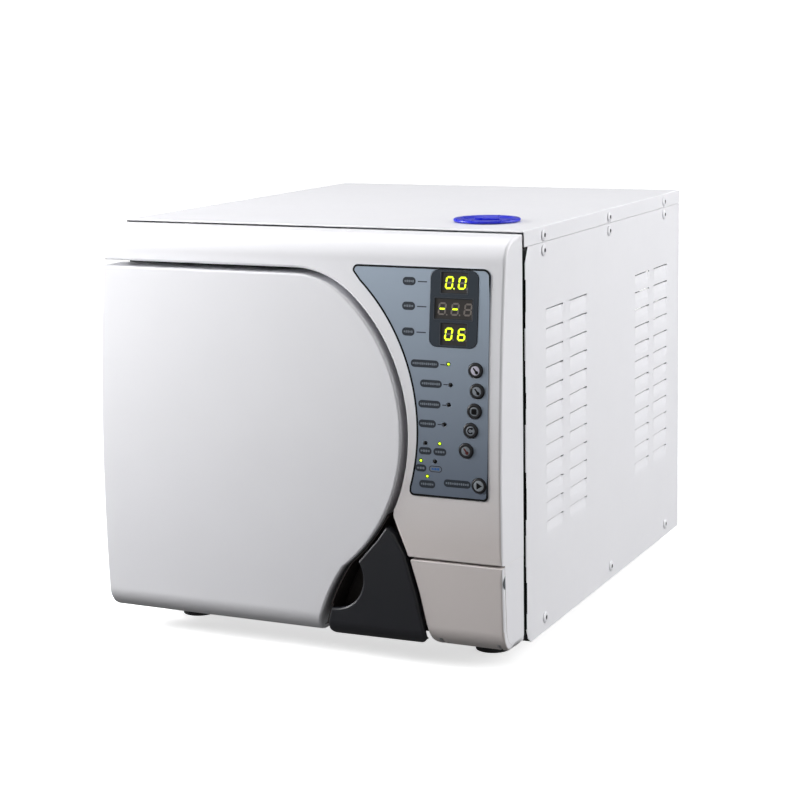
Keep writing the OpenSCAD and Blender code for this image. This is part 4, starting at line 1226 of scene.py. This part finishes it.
cap_profile = [(23.5, -9), (25.5, -9), (25.5, 0.5), (32.6, 0.5), (33.5, 0.9), (34.0, 1.7), (34.0, 2.4),
               (33.6, 3.2), (32.8, 3.75), (31.8, 3.9), (29.0, 3.85), (27.6, 3.6), (26.6, 3.0),
               (25.4, 2.2), (23.5, 1.75), (12, 1.6), (0, 1.6)]
cap_body = lathe(cap_profile, (*CAP, CAB_H), Z, 96)
grip = shell(round_rect(CAP[0] - 14, CAP[1] - 2.6, CAP[0] + 14, CAP[1] + 2.6, 2.5, 8),
             flat((0, 0, CAB_H + 4.1), X, Y), radius=1.2, depth=3.0, rings=4, grid=6)
build("cap_moulding", [cap_body, grip], "filler_cap", [LOOK["blue_plastic"]],
      ["tank_cap"])

# ---------- small bevels on the carried-over parts ----------

BEVELS = {"hinge_brackets": 0.5, "latch_keeper": 0.4, "service_recess": 0.5, "power_rocker": 0.4,
          "drain_knob_clean": 0.5, "drain_knob_waste": 0.5, "mains_inlet": 0.5, "handle_recess": 0.3,
          "power_switch_body": 0.4, "water_tank": 1.0, "fan_frame": 0.5, "latch_bolt": 0.4}
for name, width in BEVELS.items():
    b = frame["nodes"][name].modifiers.new("soft_edges", "BEVEL")
    b.width = width * MM
    b.segments = 2
    b.limit_method = "ANGLE"
    b.angle_limit = math.radians(40)

# ---------- floor, light, camera ----------


def stage_piece(name, profile, look, seg=96):
    """A round stage piece from (radius, height) points in metres. It is white to the camera and
    leaves the object's own light alone."""
    t = np.arange(seg) * 2 * math.pi / seg
    pts = [(r * math.cos(a), r * math.sin(a), z) for r, z in profile for a in t]
    rows = range(len(profile) - 1)
    faces = [(i * seg + j, i * seg + (j + 1) % seg, (i + 1) * seg + (j + 1) % seg, (i + 1) * seg + j)
             for i in rows for j in range(seg)]
    obj = new_object(name, pts, faces, [look])
    obj.visible_diffuse = False
    obj.visible_glossy = False
    return obj


def glow_outwards(m, r0, r1, low, high):
    """Lets a stage material glow from low at radius r0 to high at r1."""
    nodes, links = m.node_tree.nodes, m.node_tree.links
    coords = next(n for n in nodes if n.type == "TEX_COORD")
    length = nodes.new("ShaderNodeVectorMath")
    length.operation = "LENGTH"
    links.new(coords.outputs["Object"], length.inputs[0])
    strength = spread(m.node_tree, length.outputs["Value"], r0, r1, low, high)
    shader = nodes["Principled BSDF"]
    shader.inputs["Emission Color"].default_value = (1, 1, 1, 1)
    links.new(strength, shader.inputs["Emission Strength"])


floor_look = material("floor_paint", (0.9, 0.9, 0.9), rough=0.8, grain=60, bump=0.02, mottle=0.005)
glow_outwards(floor_look, 0.4, 1.6, 0.62, 1.0)
stage_piece("floor", [(0.0001, 0), (0.6, 0), (1.5, 0), (4, 0), (9, 0)], floor_look)
wall_look = material("backdrop_paint", (0.9, 0.9, 0.9), rough=0.9, grain=60, bump=0.02, mottle=0.005,
                     specular=0.0)
glow_outwards(wall_look, 0.4, 1.6, 0.62, 1.0)
backdrop = stage_piece("backdrop", [(9, 0), (9.2, 3), (8, 6), (5, 8.5), (0.0001, 9.5)], wall_look)
backdrop.visible_shadow = False


def area_light(name, place, target, size, power, colour=(1, 1, 1)):
    lamp = bpy.data.lights.new(name, "AREA")
    lamp.shape = "RECTANGLE"
    lamp.size, lamp.size_y = size
    lamp.energy = power
    lamp.color = colour
    obj = bpy.data.objects.new(name, lamp)
    obj.location = place
    obj.rotation_mode = "QUATERNION"
    obj.rotation_quaternion = (Vector(target) - Vector(place)).to_track_quat("-Z", "Y")
    bpy.context.scene.collection.objects.link(obj)


area_light("overhead", (0.0, 0.1, 2.4), (0, 0, 0.2), (1.8, 1.8), 24)
area_light("right", (2.4, 0.35, 0.7), (0.2, 0, 0.2), (1.8, 1.8), 29)
area_light("right_back", (1.6, 0.6, 1.0), (0.2, 0.1, 0.2), (1.2, 1.2), 14.7)
area_light("left_near", (-1.2, -0.7, 0.7), (0, -0.2, 0.2), (0.6, 0.6), 29)
area_light("front_high", (-0.3, -1.9, 1.7), (0, -0.2, 0.3), (1.0, 1.0), 3.5)
area_light("front_low", (-0.6, -2.2, 0.4), (0, -0.2, 0.2), (1.2, 0.8), 1.4)


def sky(low, high):
    """An even world light that is weaker from below."""
    world = bpy.data.worlds.new("studio")
    world.use_nodes = True
    nodes, links = world.node_tree.nodes, world.node_tree.links
    coords = nodes.new("ShaderNodeTexCoord")
    split = nodes.new("ShaderNodeSeparateXYZ")
    links.new(coords.outputs["Generated"], split.inputs["Vector"])
    strength = spread(world.node_tree, split.outputs["Z"], -0.15, 0.15, low, high)
    links.new(strength, nodes["Background"].inputs["Strength"])
    nodes["Background"].inputs["Color"].default_value = (1, 1, 1, 1)
    bpy.context.scene.world = world


sky(0.12, 0.30)
bpy.context.scene.view_settings.view_transform = "Standard"

camera_data = bpy.data.cameras.new("camera")
camera_data.lens = 88.9
camera_data.sensor_width = 36
camera_data.shift_y = -0.15
camera_data.clip_start, camera_data.clip_end = 0.05, 50
camera = bpy.data.objects.new("camera", camera_data)
camera.location = (0.89598, -1.99873, 0.61741)
camera.rotation_euler = [math.radians(a) for a in (82.9403, 0.7232, 24.4504)]
bpy.context.scene.collection.objects.link(camera)
bpy.context.scene.camera = camera
